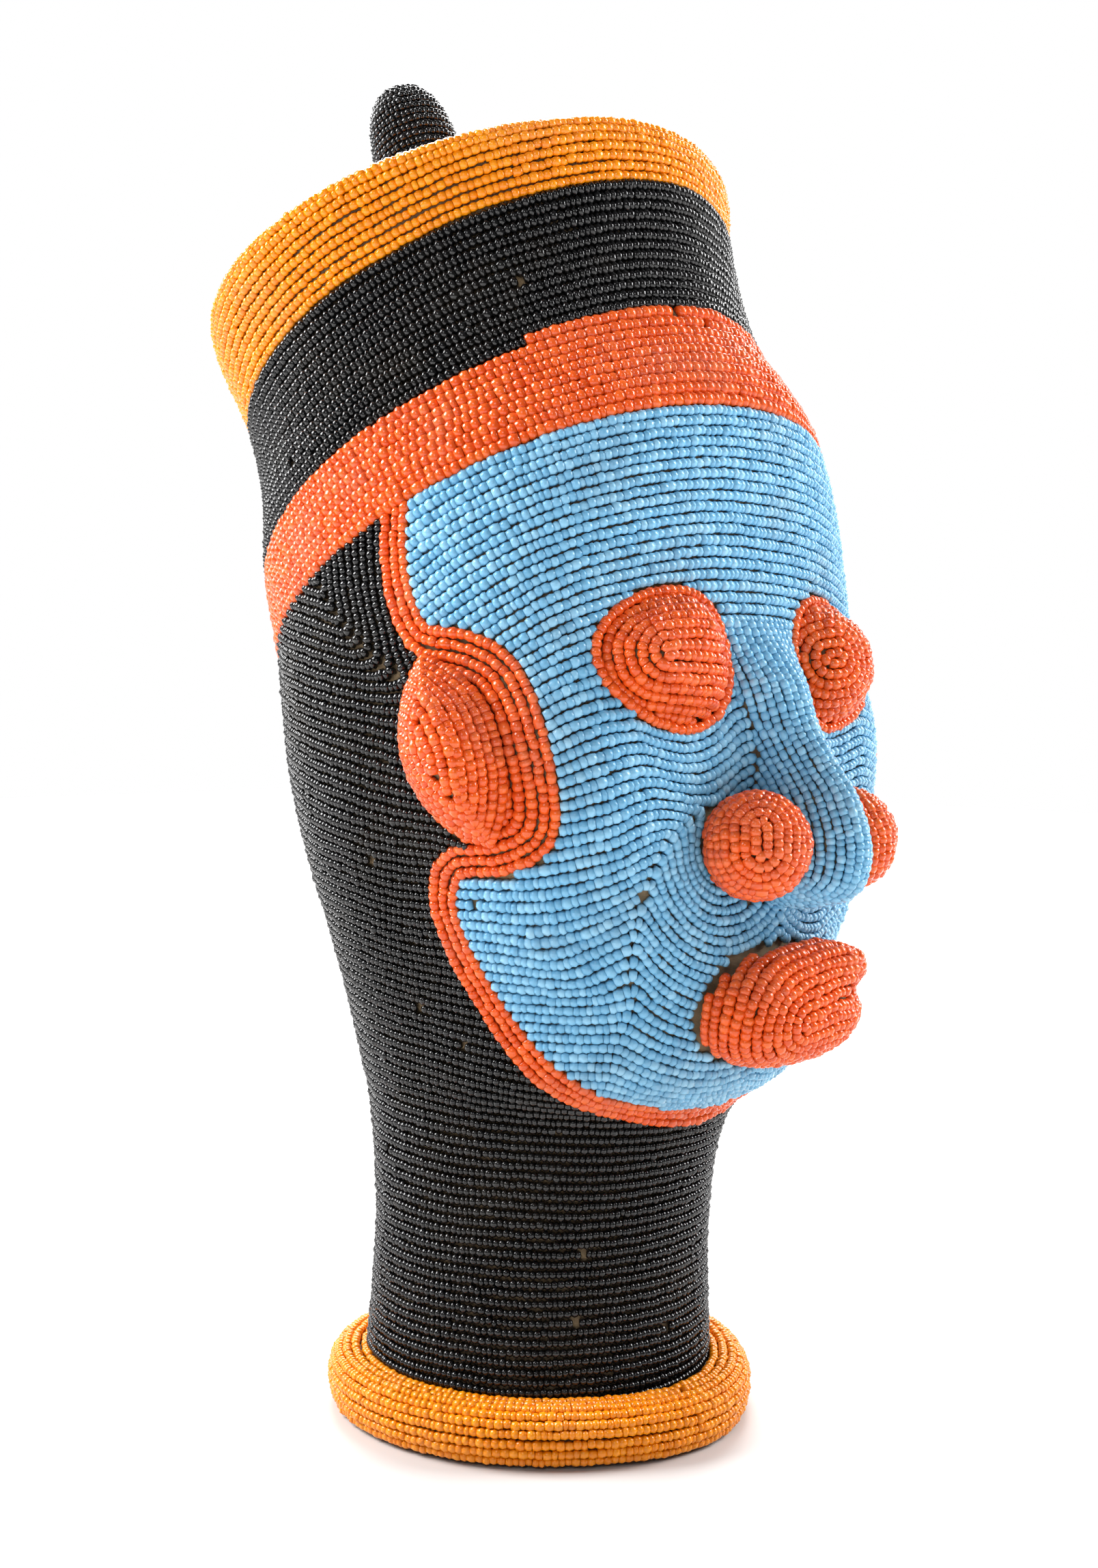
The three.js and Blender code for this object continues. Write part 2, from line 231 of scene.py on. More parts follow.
@dataclass(frozen=True)
class Glass:
    """The finish of one colour of opaque glass bead."""

    name: str
    slot: Slot
    deep: Colour
    main: Colour
    pale: Colour
    roughness: float = 0.2
    dust: Colour = (0.30, 0.23, 0.15)
    dusty: float = 0.25
    dusty_roughness: float = 0.75
    patch_size: float = 38.0

    def material(self, grime: bpy.types.ShaderNodeTree) -> bpy.types.Material:
        """The material, whose colour follows each bead's own tint.

        Args:
            grime: the shared group for dust.

        Returns:
            The material.
        """
        made, wiring, shader = blank_material(self.name)
        tint = wiring.add("ShaderNodeAttribute", attribute_name="tint")
        ramp = wiring.add("ShaderNodeValToRGB", {"Fac": tint.outputs["Fac"]})
        stops = ramp.color_ramp.elements
        stops[0].color = (*self.deep, 1)
        stops[1].color = (*self.pale, 1)
        stops.new(0.5).color = (*self.main, 1)
        dirt = wiring.add("ShaderNodeGroup", {"Patch Size": self.patch_size, "Amount": self.dusty},
                          node_tree=grime)
        coat = wiring.add("ShaderNodeMix", {
            "Factor": dirt.outputs["Mask"], "A": ramp.outputs["Color"], "B": (*self.dust, 1)},
            data_type="RGBA")
        dull = wiring.add("ShaderNodeMapRange", {
            "Value": dirt.outputs["Mask"], "To Min": self.roughness, "To Max": self.dusty_roughness})
        wiring.feed(shader, {"Base Color": coat.outputs["Result"], "Roughness": dull.outputs["Result"]})
        return made


@dataclass(frozen=True)
class Sacking:
    """The finish of the coarse tan cloth."""

    name: str
    light: Colour
    dark: Colour
    threads: float = 1100.0
    bump: float = 0.35
    bump_height: float = 0.0004
    sheen: float = 0.15
    roughness: float = 0.9
    stain: Colour = (0.03, 0.02, 0.012)
    stained: float = 0.6
    patch_size: float = 60.0

    def material(self, grime: bpy.types.ShaderNodeTree) -> bpy.types.Material:
        """The material, a plain weave with stains.

        Args:
            grime: the shared group for stains.

        Returns:
            The material.
        """
        made, wiring, shader = blank_material(self.name)
        place = wiring.add("ShaderNodeTexCoord")
        waves = [wiring.add("ShaderNodeTexWave", {
            "Vector": place.outputs["Object"], "Scale": self.threads, "Distortion": 1.5},
            wave_type="BANDS", bands_direction=direction) for direction in ("X", "Z")]
        weave = wiring.add("ShaderNodeMath", {
            0: waves[0].outputs["Fac"], 1: waves[1].outputs["Fac"]}, operation="MULTIPLY")
        fibres = wiring.add("ShaderNodeTexNoise", {
            "Vector": place.outputs["Object"], "Scale": 420.0, "Detail": 6.0})
        shade = wiring.add("ShaderNodeMix", {
            "Factor": fibres.outputs["Fac"], "A": (*self.dark, 1), "B": (*self.light, 1)},
            data_type="RGBA")
        dirt = wiring.add("ShaderNodeGroup", {"Patch Size": self.patch_size, "Amount": self.stained},
                          node_tree=grime)
        colour = wiring.add("ShaderNodeMix", {
            "Factor": dirt.outputs["Mask"], "A": shade.outputs["Result"], "B": (*self.stain, 1)},
            data_type="RGBA")
        relief = wiring.add("ShaderNodeBump", {
            "Height": weave.outputs["Value"], "Strength": self.bump, "Distance": self.bump_height})
        wiring.feed(shader, {
            "Base Color": colour.outputs["Result"], "Normal": relief.outputs["Normal"],
            "Roughness": self.roughness, "Sheen Weight": self.sheen})
        return made


GLASSES = (
    Glass("orange glass", Slot.ORANGE, (0.82, 0.225, 0.002), (0.87, 0.26, 0.0025), (0.91, 0.30, 0.004),
          roughness=0.17, dusty=0.12),
    Glass("black glass", Slot.BLACK, (0.002, 0.002, 0.0023), (0.004, 0.004, 0.0045),
          (0.008, 0.008, 0.0085), roughness=0.13, dusty=0.04),
    Glass("red glass", Slot.RED, (0.70, 0.078, 0.008), (0.78, 0.098, 0.010), (0.84, 0.128, 0.016),
          roughness=0.17),
    Glass("blue glass", Slot.BLUE, (0.14, 0.39, 0.61), (0.18, 0.46, 0.69), (0.27, 0.56, 0.77),
          roughness=0.2),
)
SACKING = Sacking("sacking", (0.42, 0.30, 0.17), (0.17, 0.11, 0.055))


# Beads


@dataclass(frozen=True)
class BeadKind:
    """The size of one kind of bead, and how evenly it is made and strung.

    Attributes:
        row: from one row of beads to the next.
        diameter: of the bead's middle.
        length: along the thread.
        corners: on the bead's outer side.
        end_width: of its two ends, as a share of the diameter.
        uneven: how much the lengths differ, as a share.
        missing: the share of beads that have come off.
        reach: how far round from its outer side a bead is modelled, in degrees.
        lengths: the shortest and the longest bead, as shares of the length.
        width_spread: how much the widths differ, as a share.
        widths: the thinnest and the thickest bead, as shares of the diameter.
        stray: how far beads lie off the line, as a share of the diameter.
        filled: the share of its stretch of thread that a bead fills.
    """

    row: float
    diameter: float
    length: float
    corners: int
    end_width: float
    uneven: float = 0.16
    missing: float = 0.002
    reach: float = 105.0
    lengths: tuple[float, float] = (0.65, 1.6)
    width_spread: float = 0.045
    widths: tuple[float, float] = (0.85, 1.14)
    stray: float = 0.035
    filled: float = 0.97

    def shape(self, name: str) -> bpy.types.Object:
        """One bead of size one, with its hole along Z and its outer side towards +X.

        The side that lies on the cloth is flat, because nothing shows there.

        Args:
            name: the object's name.

        Returns:
            An object that isn't in the scene.
        """
        turns = np.radians(np.linspace(-self.reach, self.reach, self.corners))
        rings = ((-0.5, self.end_width), (0.0, 1.0), (0.5, self.end_width))
        points = [(0.5 * width * math.cos(t), 0.5 * width * math.sin(t), z)
                  for z, width in rings for t in turns]
        count = self.corners
        faces = [tuple(range(count))[::-1], tuple(range(len(points) - count, len(points)))]
        for low in range(0, len(points) - count, count):
            for i in range(count):
                k = (i + 1) % count
                faces.append((low + i, low + k, low + count + k, low + count + i))
        mesh = bpy.data.meshes.new(name)
        mesh.from_pydata(points, [], faces)
        mesh.shade_smooth()
        return bpy.data.objects.new(name, mesh)


ROCAILLE = BeadKind(row=2.98, diameter=3.12, length=2.35, corners=6, end_width=0.8)
SMALL_ROCAILLE = BeadKind(row=2.7, diameter=2.86, length=2.05, corners=5, end_width=0.8)
SMALL_BLACK = BeadKind(row=2.62, diameter=2.72, length=1.74, corners=5, end_width=0.68, uneven=0.14)


class Needle:
    """Strings beads along lines, with a chance of its own."""

    def __init__(self, seed: int) -> None:
        """Starts the chance from a seed."""
        self.chance = np.random.default_rng(seed)

    def string_all(self, lines: list[Array], kind: BeadKind) -> Array:
        """The beads of all these lines, in order."""
        return np.concatenate([self.string(line, kind) for line in lines])

    def string(self, line: Array, kind: BeadKind) -> Array:
        """Fills a line with beads from end to end.

        Args:
            line: points on the outer surface, each with its normal and a bead width: seven columns.
            kind: the bead.

        Returns:
            Twelve columns for each bead: its centre, its hole's way, its outer way and its size.
        """
        step = np.linalg.norm(np.diff(line[:, :3], axis=0), axis=1)
        reach = np.concatenate([[0], np.cumsum(step)])
        count = int(round(reach[-1] / kind.length))
        if count < 1:
            return np.zeros((0, 12))
        share = np.clip(self.chance.normal(1, kind.uneven, count), *kind.lengths)
        ends = np.concatenate([[0], np.cumsum(share)]) * reach[-1] / share.sum()
        middle, length = (ends[1:] + ends[:-1]) / 2, np.diff(ends)

        def at(places: Array) -> Array:
            """The line's seven columns at these lengths along it."""
            return np.stack([np.interp(places, reach, line[:, k]) for k in range(7)], axis=1)

        here = at(middle)
        along = unit(at(middle + 0.4 * length)[:, :3] - at(middle - 0.4 * length)[:, :3])
        out = unit(here[:, 3:6])
        out = unit(out - along * (out * along).sum(1, keepdims=True))
        across = np.cross(along, out)
        shift = self.chance.normal(0, kind.stray, (count, 2)) * kind.diameter
        girth = np.clip(self.chance.normal(1, kind.width_spread, (count, 1)), *kind.widths)
        width = kind.diameter * here[:, 6:] * girth
        centre = here[:, :3] - out * (kind.diameter / 2 - shift[:, :1]) + across * shift[:, 1:]
        size = np.concatenate([width, width, kind.filled * length[:, None]], axis=1)
        beads = np.concatenate([centre, along, out, size], axis=1)
        return beads[self.chance.random(count) >= kind.missing]


def bead_tree() -> bpy.types.GeometryNodeTree:
    """The Geometry Nodes tree that sets a bead on each point, realizes it and gives it its finish.

    Returns:
        The tree, with the bead, its finish, its tilt and a seed as inputs.
    """
    tree = bpy.data.node_groups.new("string of beads", "GeometryNodeTree")
    sockets = [("Geometry", "NodeSocketGeometry"), ("Bead", "NodeSocketObject"),
               ("Finish", "NodeSocketMaterial"), ("Tilt", "NodeSocketFloat"), ("Seed", "NodeSocketInt")]
    for name, kind in sockets:
        tree.interface.new_socket(name, in_out="INPUT", socket_type=kind)
    tree.interface.new_socket("Geometry", in_out="OUTPUT", socket_type="NodeSocketGeometry")
    wiring = Wiring(tree)
    given = wiring.add("NodeGroupInput")
    read = {name: wiring.add("GeometryNodeInputNamedAttribute", {"Name": name},
                             data_type="FLOAT_VECTOR") for name in BEAD_COLUMNS}
    facing = wiring.add("FunctionNodeAxesToRotation", {
        "Primary Axis": read["along"].outputs["Attribute"],
        "Secondary Axis": read["out"].outputs["Attribute"]}, primary_axis="Z", secondary_axis="X")
    least = wiring.add("ShaderNodeMath", {0: given.outputs["Tilt"], 1: -1.0}, operation="MULTIPLY")
    lean = wiring.add("FunctionNodeRandomValue", {
        0: least.outputs["Value"], 1: given.outputs["Tilt"], "Seed": given.outputs["Seed"]},
        data_type="FLOAT_VECTOR")
    tip = wiring.add("FunctionNodeEulerToRotation", {"Euler": lean.outputs["Value"]})
    turned = wiring.add("FunctionNodeRotateRotation", {
        "Rotation": facing.outputs["Rotation"], "Rotate By": tip.outputs["Rotation"]},
        rotation_space="LOCAL")
    bead = wiring.add("GeometryNodeObjectInfo", {"Object": given.outputs["Bead"]},
                      transform_space="ORIGINAL")
    set_out = wiring.add("GeometryNodeInstanceOnPoints", {
        "Points": given.outputs["Geometry"], "Instance": bead.outputs["Geometry"],
        "Rotation": turned.outputs["Rotation"], "Scale": read["size"].outputs["Attribute"]})
    tint = wiring.add("FunctionNodeRandomValue", {2: 0.0, 3: 1.0, "Seed": given.outputs["Seed"]},
                      data_type="FLOAT")
    tinted = wiring.add("GeometryNodeStoreNamedAttribute", {
        "Geometry": set_out.outputs["Instances"], "Name": "tint", "Value": tint.outputs[1]},
        data_type="FLOAT", domain="INSTANCE")
    real = wiring.add("GeometryNodeRealizeInstances", {"Geometry": tinted.outputs["Geometry"]})
    finished = wiring.add("GeometryNodeSetMaterial", {
        "Geometry": real.outputs["Geometry"], "Material": given.outputs["Finish"]})
    wiring.add("NodeGroupOutput", {"Geometry": finished.outputs["Geometry"]})
    return tree


class Workshop:
    """Holds the materials and the tree that sets beads, and makes pieces."""

    def __init__(self) -> None:
        """Makes what every piece shares."""
        self.tree = bead_tree()
        grime = grime_group()
        self.glass = {glass.slot: glass.material(grime) for glass in GLASSES}
        self.cloth = SACKING.material(grime)

    def finish_piece(self, piece: bpy.types.Object, nodes: tuple[str, ...]) -> None:
        """Lets a piece ride on the body and stand for its nodes.

        Args:
            piece: the finished object.
            nodes: the frame's nodes that it stands for.
        """
        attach(piece, BODY)
        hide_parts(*nodes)
        log.info("%s: %d faces", piece.name, len(piece.data.polygons))

    def beads(self, name: str, lines: list[Array], kind: BeadKind, slot: Slot, nodes: tuple[str, ...],
              seed: int) -> None:
        """Makes one piece of beadwork, which ends up as one plain mesh.

        Args:
            name: the piece's name.
            lines: what its beads are strung along.
            kind: the bead.
            slot: its colour.
            nodes: the frame's nodes that it stands for.
            seed: for how the beads differ, tilt and are tinted.
        """
        table = Needle(seed).string_all(lines, kind)
        mesh = bpy.data.meshes.new(name)
        mesh.from_pydata(table[:, :3] * MM, [], [])
        for k, (label, scale) in enumerate(zip(BEAD_COLUMNS, (1, 1, MM))):
            values = np.ascontiguousarray(table[:, 3 + 3 * k:6 + 3 * k] * scale, dtype=np.float32)
            mesh.attributes.new(label, "FLOAT_VECTOR", "POINT").data.foreach_set("vector", values.ravel())
        piece = placed(name, mesh)
        bead = kind.shape(f"{name}_bead")
        modifier = piece.modifiers.new("beads", "NODES")
        modifier.node_group = self.tree
        values = {"Bead": bead, "Finish": self.glass[slot], "Tilt": TILT, "Seed": seed}
        for item in self.tree.interface.items_tree:
            if item.in_out == "INPUT" and item.name in values:
                modifier[item.identifier] = values[item.name]
        shown = bpy.context.evaluated_depsgraph_get()
        made = bpy.data.meshes.new_from_object(piece.evaluated_get(shown))
        piece.modifiers.remove(modifier)
        piece.data = made
        made.name = name
        for label in BEAD_COLUMNS:
            if label in made.attributes:
                made.attributes.remove(made.attributes[label])
        bpy.data.objects.remove(bead)
        self.finish_piece(piece, nodes)

    def sheet(self, name: str, points: Array, faces: Array, slot: Slot, nodes: tuple[str, ...]) -> None:
        """Makes a piece of cloth from points and faces.

        Args:
            name: the piece's name.
            points: in millimetres.
            faces: the corners of each face.
            slot: the record's slot of its finish; not used.
            nodes: the frame's nodes that it stands for.
        """
        mesh = bpy.data.meshes.new(name)
        mesh.from_pydata(points * MM, [], faces.tolist())
        mesh.shade_smooth()
        mesh.materials.append(self.cloth)
        self.finish_piece(placed(name, mesh), nodes)


# Surfaces that carry rows of beads


def quads(points: Array, closed: bool) -> Array:
    """Four corners for each face over a grid of points, whose normals follow columns times rows.

    Args:
        points: the grid, rows by columns by three.
        closed: whether the last column meets the first.

    Returns:
        One row of grid points for each face.
    """
    rows, columns = points.shape[:2]
    index = np.arange(rows * columns).reshape(rows, columns)
    left, right = (index, np.roll(index, -1, axis=1)) if closed else (index[:, :-1], index[:, 1:])
    return np.stack([x.ravel() for x in (left[:-1], right[:-1], right[1:], left[1:])], axis=1)


@dataclass
class Patch:
    """A surface drawn as a grid of points, on which rows follow the lines of a field.

    Attributes:
        points: the outer surface of the beads, rows by columns by three.
        closed: whether the last column meets the first.
        flip: whether the normals have to be turned round.
    """

    points: Array
    closed: bool
    flip: bool = False
    normals: Array = field(init=False)

    def __post_init__(self) -> None:
        """Works out the normals."""
        self.normals = unit(np.cross(self.across(self.points), np.gradient(self.points, axis=0)))
        if self.flip:
            self.normals = -self.normals

    def across(self, values: Array) -> Array:
        """How values change from one column to the next.

        Args:
            values: at each grid point.

        Returns:
            The change at each grid point.
        """
        if self.closed:
            return (np.roll(values, -1, axis=1) - np.roll(values, 1, axis=1)) / 2
        return np.gradient(values, axis=1)

    def slope(self, values: Array) -> Array:
        """How values grow along the surface, as a direction and a rate, at each grid point.

        Args:
            values: at each grid point.

        Returns:
            Three numbers for each grid point.
        """
        side, up = self.across(self.points), np.gradient(self.points, axis=0)
        change, climb = self.across(values), np.gradient(values, axis=0)
        e, f, g = (side ** 2).sum(-1), (side * up).sum(-1), (up ** 2).sum(-1)
        area = np.maximum(e * g - f * f, 1e-9)
        return (((change * g - climb * f) / area)[..., None] * side
                + ((climb * e - change * f) / area)[..., None] * up)

    def spacing(self, values: Array) -> Array:
        """How far apart on the surface two values that differ by one lie, at each grid point."""
        return 1 / np.maximum(np.linalg.norm(self.slope(values), axis=-1), 1e-2)

    def corners(self) -> Array:
        """Three grid points for each of the triangles that the grid is made of."""
        faces = quads(self.points, self.closed)
        return np.concatenate([faces[:, [0, 1, 2]], faces[:, [0, 2, 3]]])

    def nearest(self, flat: Array, places: Array) -> Array:
        """The grid points that lie nearest to places, seen flat.

        Args:
            flat: two coordinates of each grid point.
            places: two coordinates each.

        Returns:
            Three numbers for each place.
        """
        found = [np.argmin(np.hypot(flat[..., 0] - x, flat[..., 1] - y)) for x, y in places]
        return self.points.reshape(-1, 3)[found]

    def evened(self, values: Array, way: Array, near: Array, held: Array, rounds: int = 260) -> Array:
        """A field whose lines lie as nearly as can be across given directions and one unit apart.

        Args:
            values: the field to start from, at each grid point.
            way: the direction in which it should grow.
            near: where it is worked out.
            held: where it keeps its values.
            rounds: how many steps are taken at most.

        Returns:
            The new field.
        """
        corners = self.corners()
        corners = corners[near.ravel()[corners].all(1)]
        a, b, c = (self.points.reshape(-1, 3)[corners[:, k]] for k in range(3))
        across = np.cross(b - a, c - a)
        twice = np.maximum(np.linalg.norm(across, axis=1, keepdims=True), 1e-9)
        up = across / twice
        arms = np.stack([np.cross(up, c - b), np.cross(up, a - c), np.cross(up, b - a)], axis=1)
        aim = way.reshape(-1, 3)[corners].sum(1)
        aim = unit(aim - (aim * up).sum(1, keepdims=True) * up)
        free = ~held.ravel()

        def steep(field_values: Array) -> Array:
            """The slope of a field on each triangle."""
            return (arms * field_values[corners][:, :, None]).sum(1) / twice

        def gather(slopes: Array) -> Array:
            """What slopes ask of each grid point."""
            share = 0.5 * (arms * slopes[:, None]).sum(2)
            return np.bincount(corners.ravel(), share.ravel(), free.size) * free

        stiff = np.bincount(corners.ravel(), (0.5 * (arms ** 2).sum(2) / twice).ravel(), free.size)
        stiff = np.maximum(stiff, 1e-9)
        found = values.ravel().copy()
        left = gather(aim - steep(found))
        ahead = left / stiff
        size = (left * ahead).sum()
        first = size
        for _ in range(rounds):
            drag = gather(steep(ahead))
            stride = size / max((ahead * drag).sum(), 1e-12)
            found += stride * ahead
            left -= stride * drag
            step = left / stiff
            size, last = (left * step).sum(), size
            if size < 1e-7 * first:
                break
            ahead = step + size / last * ahead
        return found.reshape(values.shape)

    def trace(self, values: Array, inside: Array, row: float, first: float = 0.5) -> list[Array]:
        """Follows the lines on which a field is a whole number of rows.

        Args:
            values: distance across the rows, at each grid point.
            inside: how far each grid point lies inside the bead field.
            row: from one row to the next.
            first: where the first row lies, in rows.

        Returns:
            Lines of points, normals and bead widths, seven columns, cut to where inside is above zero.
        """
        value = (values / row - first + 1e-6).ravel()
        corners = self.corners()
        corners = corners[inside.ravel()[corners].max(1) > -0.5]
        high = value[corners].max(1)
        level = np.floor(value[corners].min(1)) + 1
        width = np.clip(self.spacing(values), NARROWEST, WIDEST)
        data = np.concatenate([self.points.reshape(-1, 3), self.normals.reshape(-1, 3),
                               width.reshape(-1, 1), inside.reshape(-1, 1)], axis=1)
        lowest, levels = (level.min(), high.max() - level.min() + 2) if len(level) else (0, 1)
        keys, nodes = [], []
        while len(corners):
            hit = level < high
            corners, high, level = corners[hit], high[hit], level[hit]
            above = value[corners] > level[:, None]
            cut = above != above[:, [1, 2, 0]]
            which, edge = np.nonzero(cut)
            ends = np.sort(np.stack([corners[which, edge], corners[which, (edge + 1) % 3]], 1), axis=1)
            at = level[which]
            part = (at - value[ends[:, 0]]) / (value[ends[:, 1]] - value[ends[:, 0]])
            nodes.append(data[ends[:, 0]] * (1 - part[:, None]) + data[ends[:, 1]] * part[:, None])
            keys.append((ends[:, 0] * value.size + ends[:, 1]) * int(levels) + (at - lowest).astype(int))
            level = level + 1
        if not keys:
            return []
        _, where, names = np.unique(np.concatenate(keys), return_index=True, return_inverse=True)
        places = np.concatenate(nodes)[where]
        lines = [places[chain] for chain in chains(names.reshape(-1, 2), len(places))]
        return [part[:, :-1] for line in lines for part in cut_to_inside(line)]


def chains(links: Array, count: int) -> list[list[int]]:
    """Joins pairs of neighbours into open or closed chains.

    Args:
        links: pairs of node numbers.
        count: how many nodes there are.

    Returns:
        The node numbers of each chain in order.
    """
    beside: list[list[int]] = [[] for _ in range(count)]
    for a, b in links.tolist():
        beside[a].append(b)
        beside[b].append(a)
    seen = [False] * count
    found = []
    for start in [i for i in range(count) if len(beside[i]) == 1] + list(range(count)):
        if seen[start]:
            continue
        chain, here = [start], start
        seen[start] = True
        while True:
            ahead = [i for i in beside[here] if not seen[i]]
            if not ahead:
                break
            here = ahead[0]
            seen[here] = True
            chain.append(here)
        if len(chain) > 2 and start in beside[here]:
            chain.append(start)
        if len(chain) > 1:
            found.append(chain)
    return found


def cut_to_inside(line: Array) -> list[Array]:
    """The stretches of a line whose last column is above zero, cut exactly where it crosses zero.

    Args:
        line: one row for each point, of any number of columns.

    Returns:
        The stretches, each of at least one point.
    """
    inside = line[:, -1] > 0
    if inside.all():
        return [line]
    steps = np.flatnonzero(inside[1:] != inside[:-1])
    part = line[steps, -1] / (line[steps, -1] - line[steps + 1, -1])
    crossings = line[steps] * (1 - part[:, None]) + line[steps + 1] * part[:, None]
    bounds = [0, *(steps + 1).tolist(), len(line)]
    found = []
    for k, (start, end) in enumerate(zip(bounds[:-1], bounds[1:])):
        if inside[start]:
            before = [crossings[k - 1:k]] if k else []
            after = [crossings[k:k + 1]] if k < len(crossings) else []
            found.append(np.concatenate([*before, line[start:end], *after]))
    return found


def line_of(points: Array, normals: Array) -> Array:
    """A line of seven columns: points, normals and a bead width of one."""
    return np.concatenate([points, normals, np.ones((len(points), 1))], axis=1)


def gap_to(points: Array, marks: Array) -> Array:
    """How far each point lies from the nearest of a few marks.

    Args:
        points: any shape, three numbers each.
        marks: one row each.

    Returns:
        One distance for each point.
    """
    return np.sqrt(((points[..., None, :] - marks) ** 2).sum(-1).min(-1))


def round_the_bend(gap: Array, radius: float) -> Array:
    """Straight gaps across a ball as lengths over its surface."""
    return 2 * radius * np.arcsin(np.clip(gap / (2 * radius), 0, 1))


@dataclass(frozen=True)
class Ring:
    """One oval of the head's outer surface: its middle, its lean in degrees and its half sizes.

    square is 2 for an ellipse, more for a flatter, broader front and less for a more pointed one.
    """

    name: str
    height: float
    setback: float
    lean: float
    half: float
    front: float
    back: float
    square: float


@dataclass(frozen=True)
class Hollow:
    """A shallow dent in the front of the head, alike on both sides."""

    across: float
    height: float
    spread_across: float
    spread_up: float
    depth: float


@dataclass(frozen=True)
class Seat:
    """A place and three directions at right angles: to the side, upwards and outwards."""

    origin: Array
    side: Array
    rise: Array
    out: Array

    @staticmethod
    def standing(origin: Array, out: Array, lean: float = 0.0) -> "Seat":
        """A seat whose rise is as near upright as it can be, then turned by lean degrees.

        Args:
            origin: its place.
            out: the way that it faces.
            lean: in degrees.

        Returns:
            The seat.
        """
        side = unit(np.cross((0.0, 0.0, 1.0), out))
        rise = np.cross(out, side)
        c, s = math.cos(math.radians(lean)), math.sin(math.radians(lean))
        return Seat(np.asarray(origin, float), side * c + rise * s, rise * c - side * s, out)

    def place(self, local: Array) -> Array:
        """Points given across, up and out from the seat, in the head's own frame."""
        return self.origin + self.swing(local)

    def swing(self, local: Array) -> Array:
        """Directions given across, up and out, in the head's own frame."""
        return local @ np.stack([self.side, self.rise, self.out])

    def local(self, points: Array) -> Array:
        """Points of the head's own frame, given across, up and out from the seat."""
        return (points - self.origin) @ np.stack([self.side, self.rise, self.out]).T


@dataclass
class Shell:
    """A surface that answers how far in front of it a point lies."""

    tree: BVHTree

    @staticmethod
    def of(patch: Patch, skip: int = 3) -> "Shell":
        """The shell of a patch, from every third grid line.

        Args:
            patch: the surface.
            skip: how many grid lines make one step.

        Returns:
            The shell.
        """
        points = patch.points[::skip, ::skip]
        faces = quads(points, patch.closed).tolist()
        return Shell(BVHTree.FromPolygons(points.reshape(-1, 3).tolist(), faces))

    def outside(self, points: Array) -> Array:
        """How far each point lies outside the shell, below zero if it is inside.

        Args:
            points: three numbers each.

        Returns:
            One number for each point.
        """
        found = []
        for point in points.reshape(-1, 3):
            near, normal, _, _ = self.tree.find_nearest(Vector(point))
            found.append((Vector(point) - near).dot(normal))
        return np.array(found).reshape(points.shape[:-1])

    def drop(self, seat: Seat, local: Array, reach: float = 40.0) -> Array:
        """Heights over a seat at which the shell lies under places across and up from it.

        Args:
            seat: where the places are counted from.
            local: the places, of which the first two columns count.
            reach: how far over the seat the search starts.

        Returns:
            One height for each place.
        """
        found = []
        for x, y in local.reshape(-1, local.shape[-1])[:, :2]:
            start = seat.place(np.array([x, y, reach]))
            hit = self.tree.ray_cast(Vector(start), Vector(-seat.out))[0]
            found.append(0.0 if hit is None else seat.local(np.array(hit))[2])
        return np.array(found).reshape(local.shape[:-1])


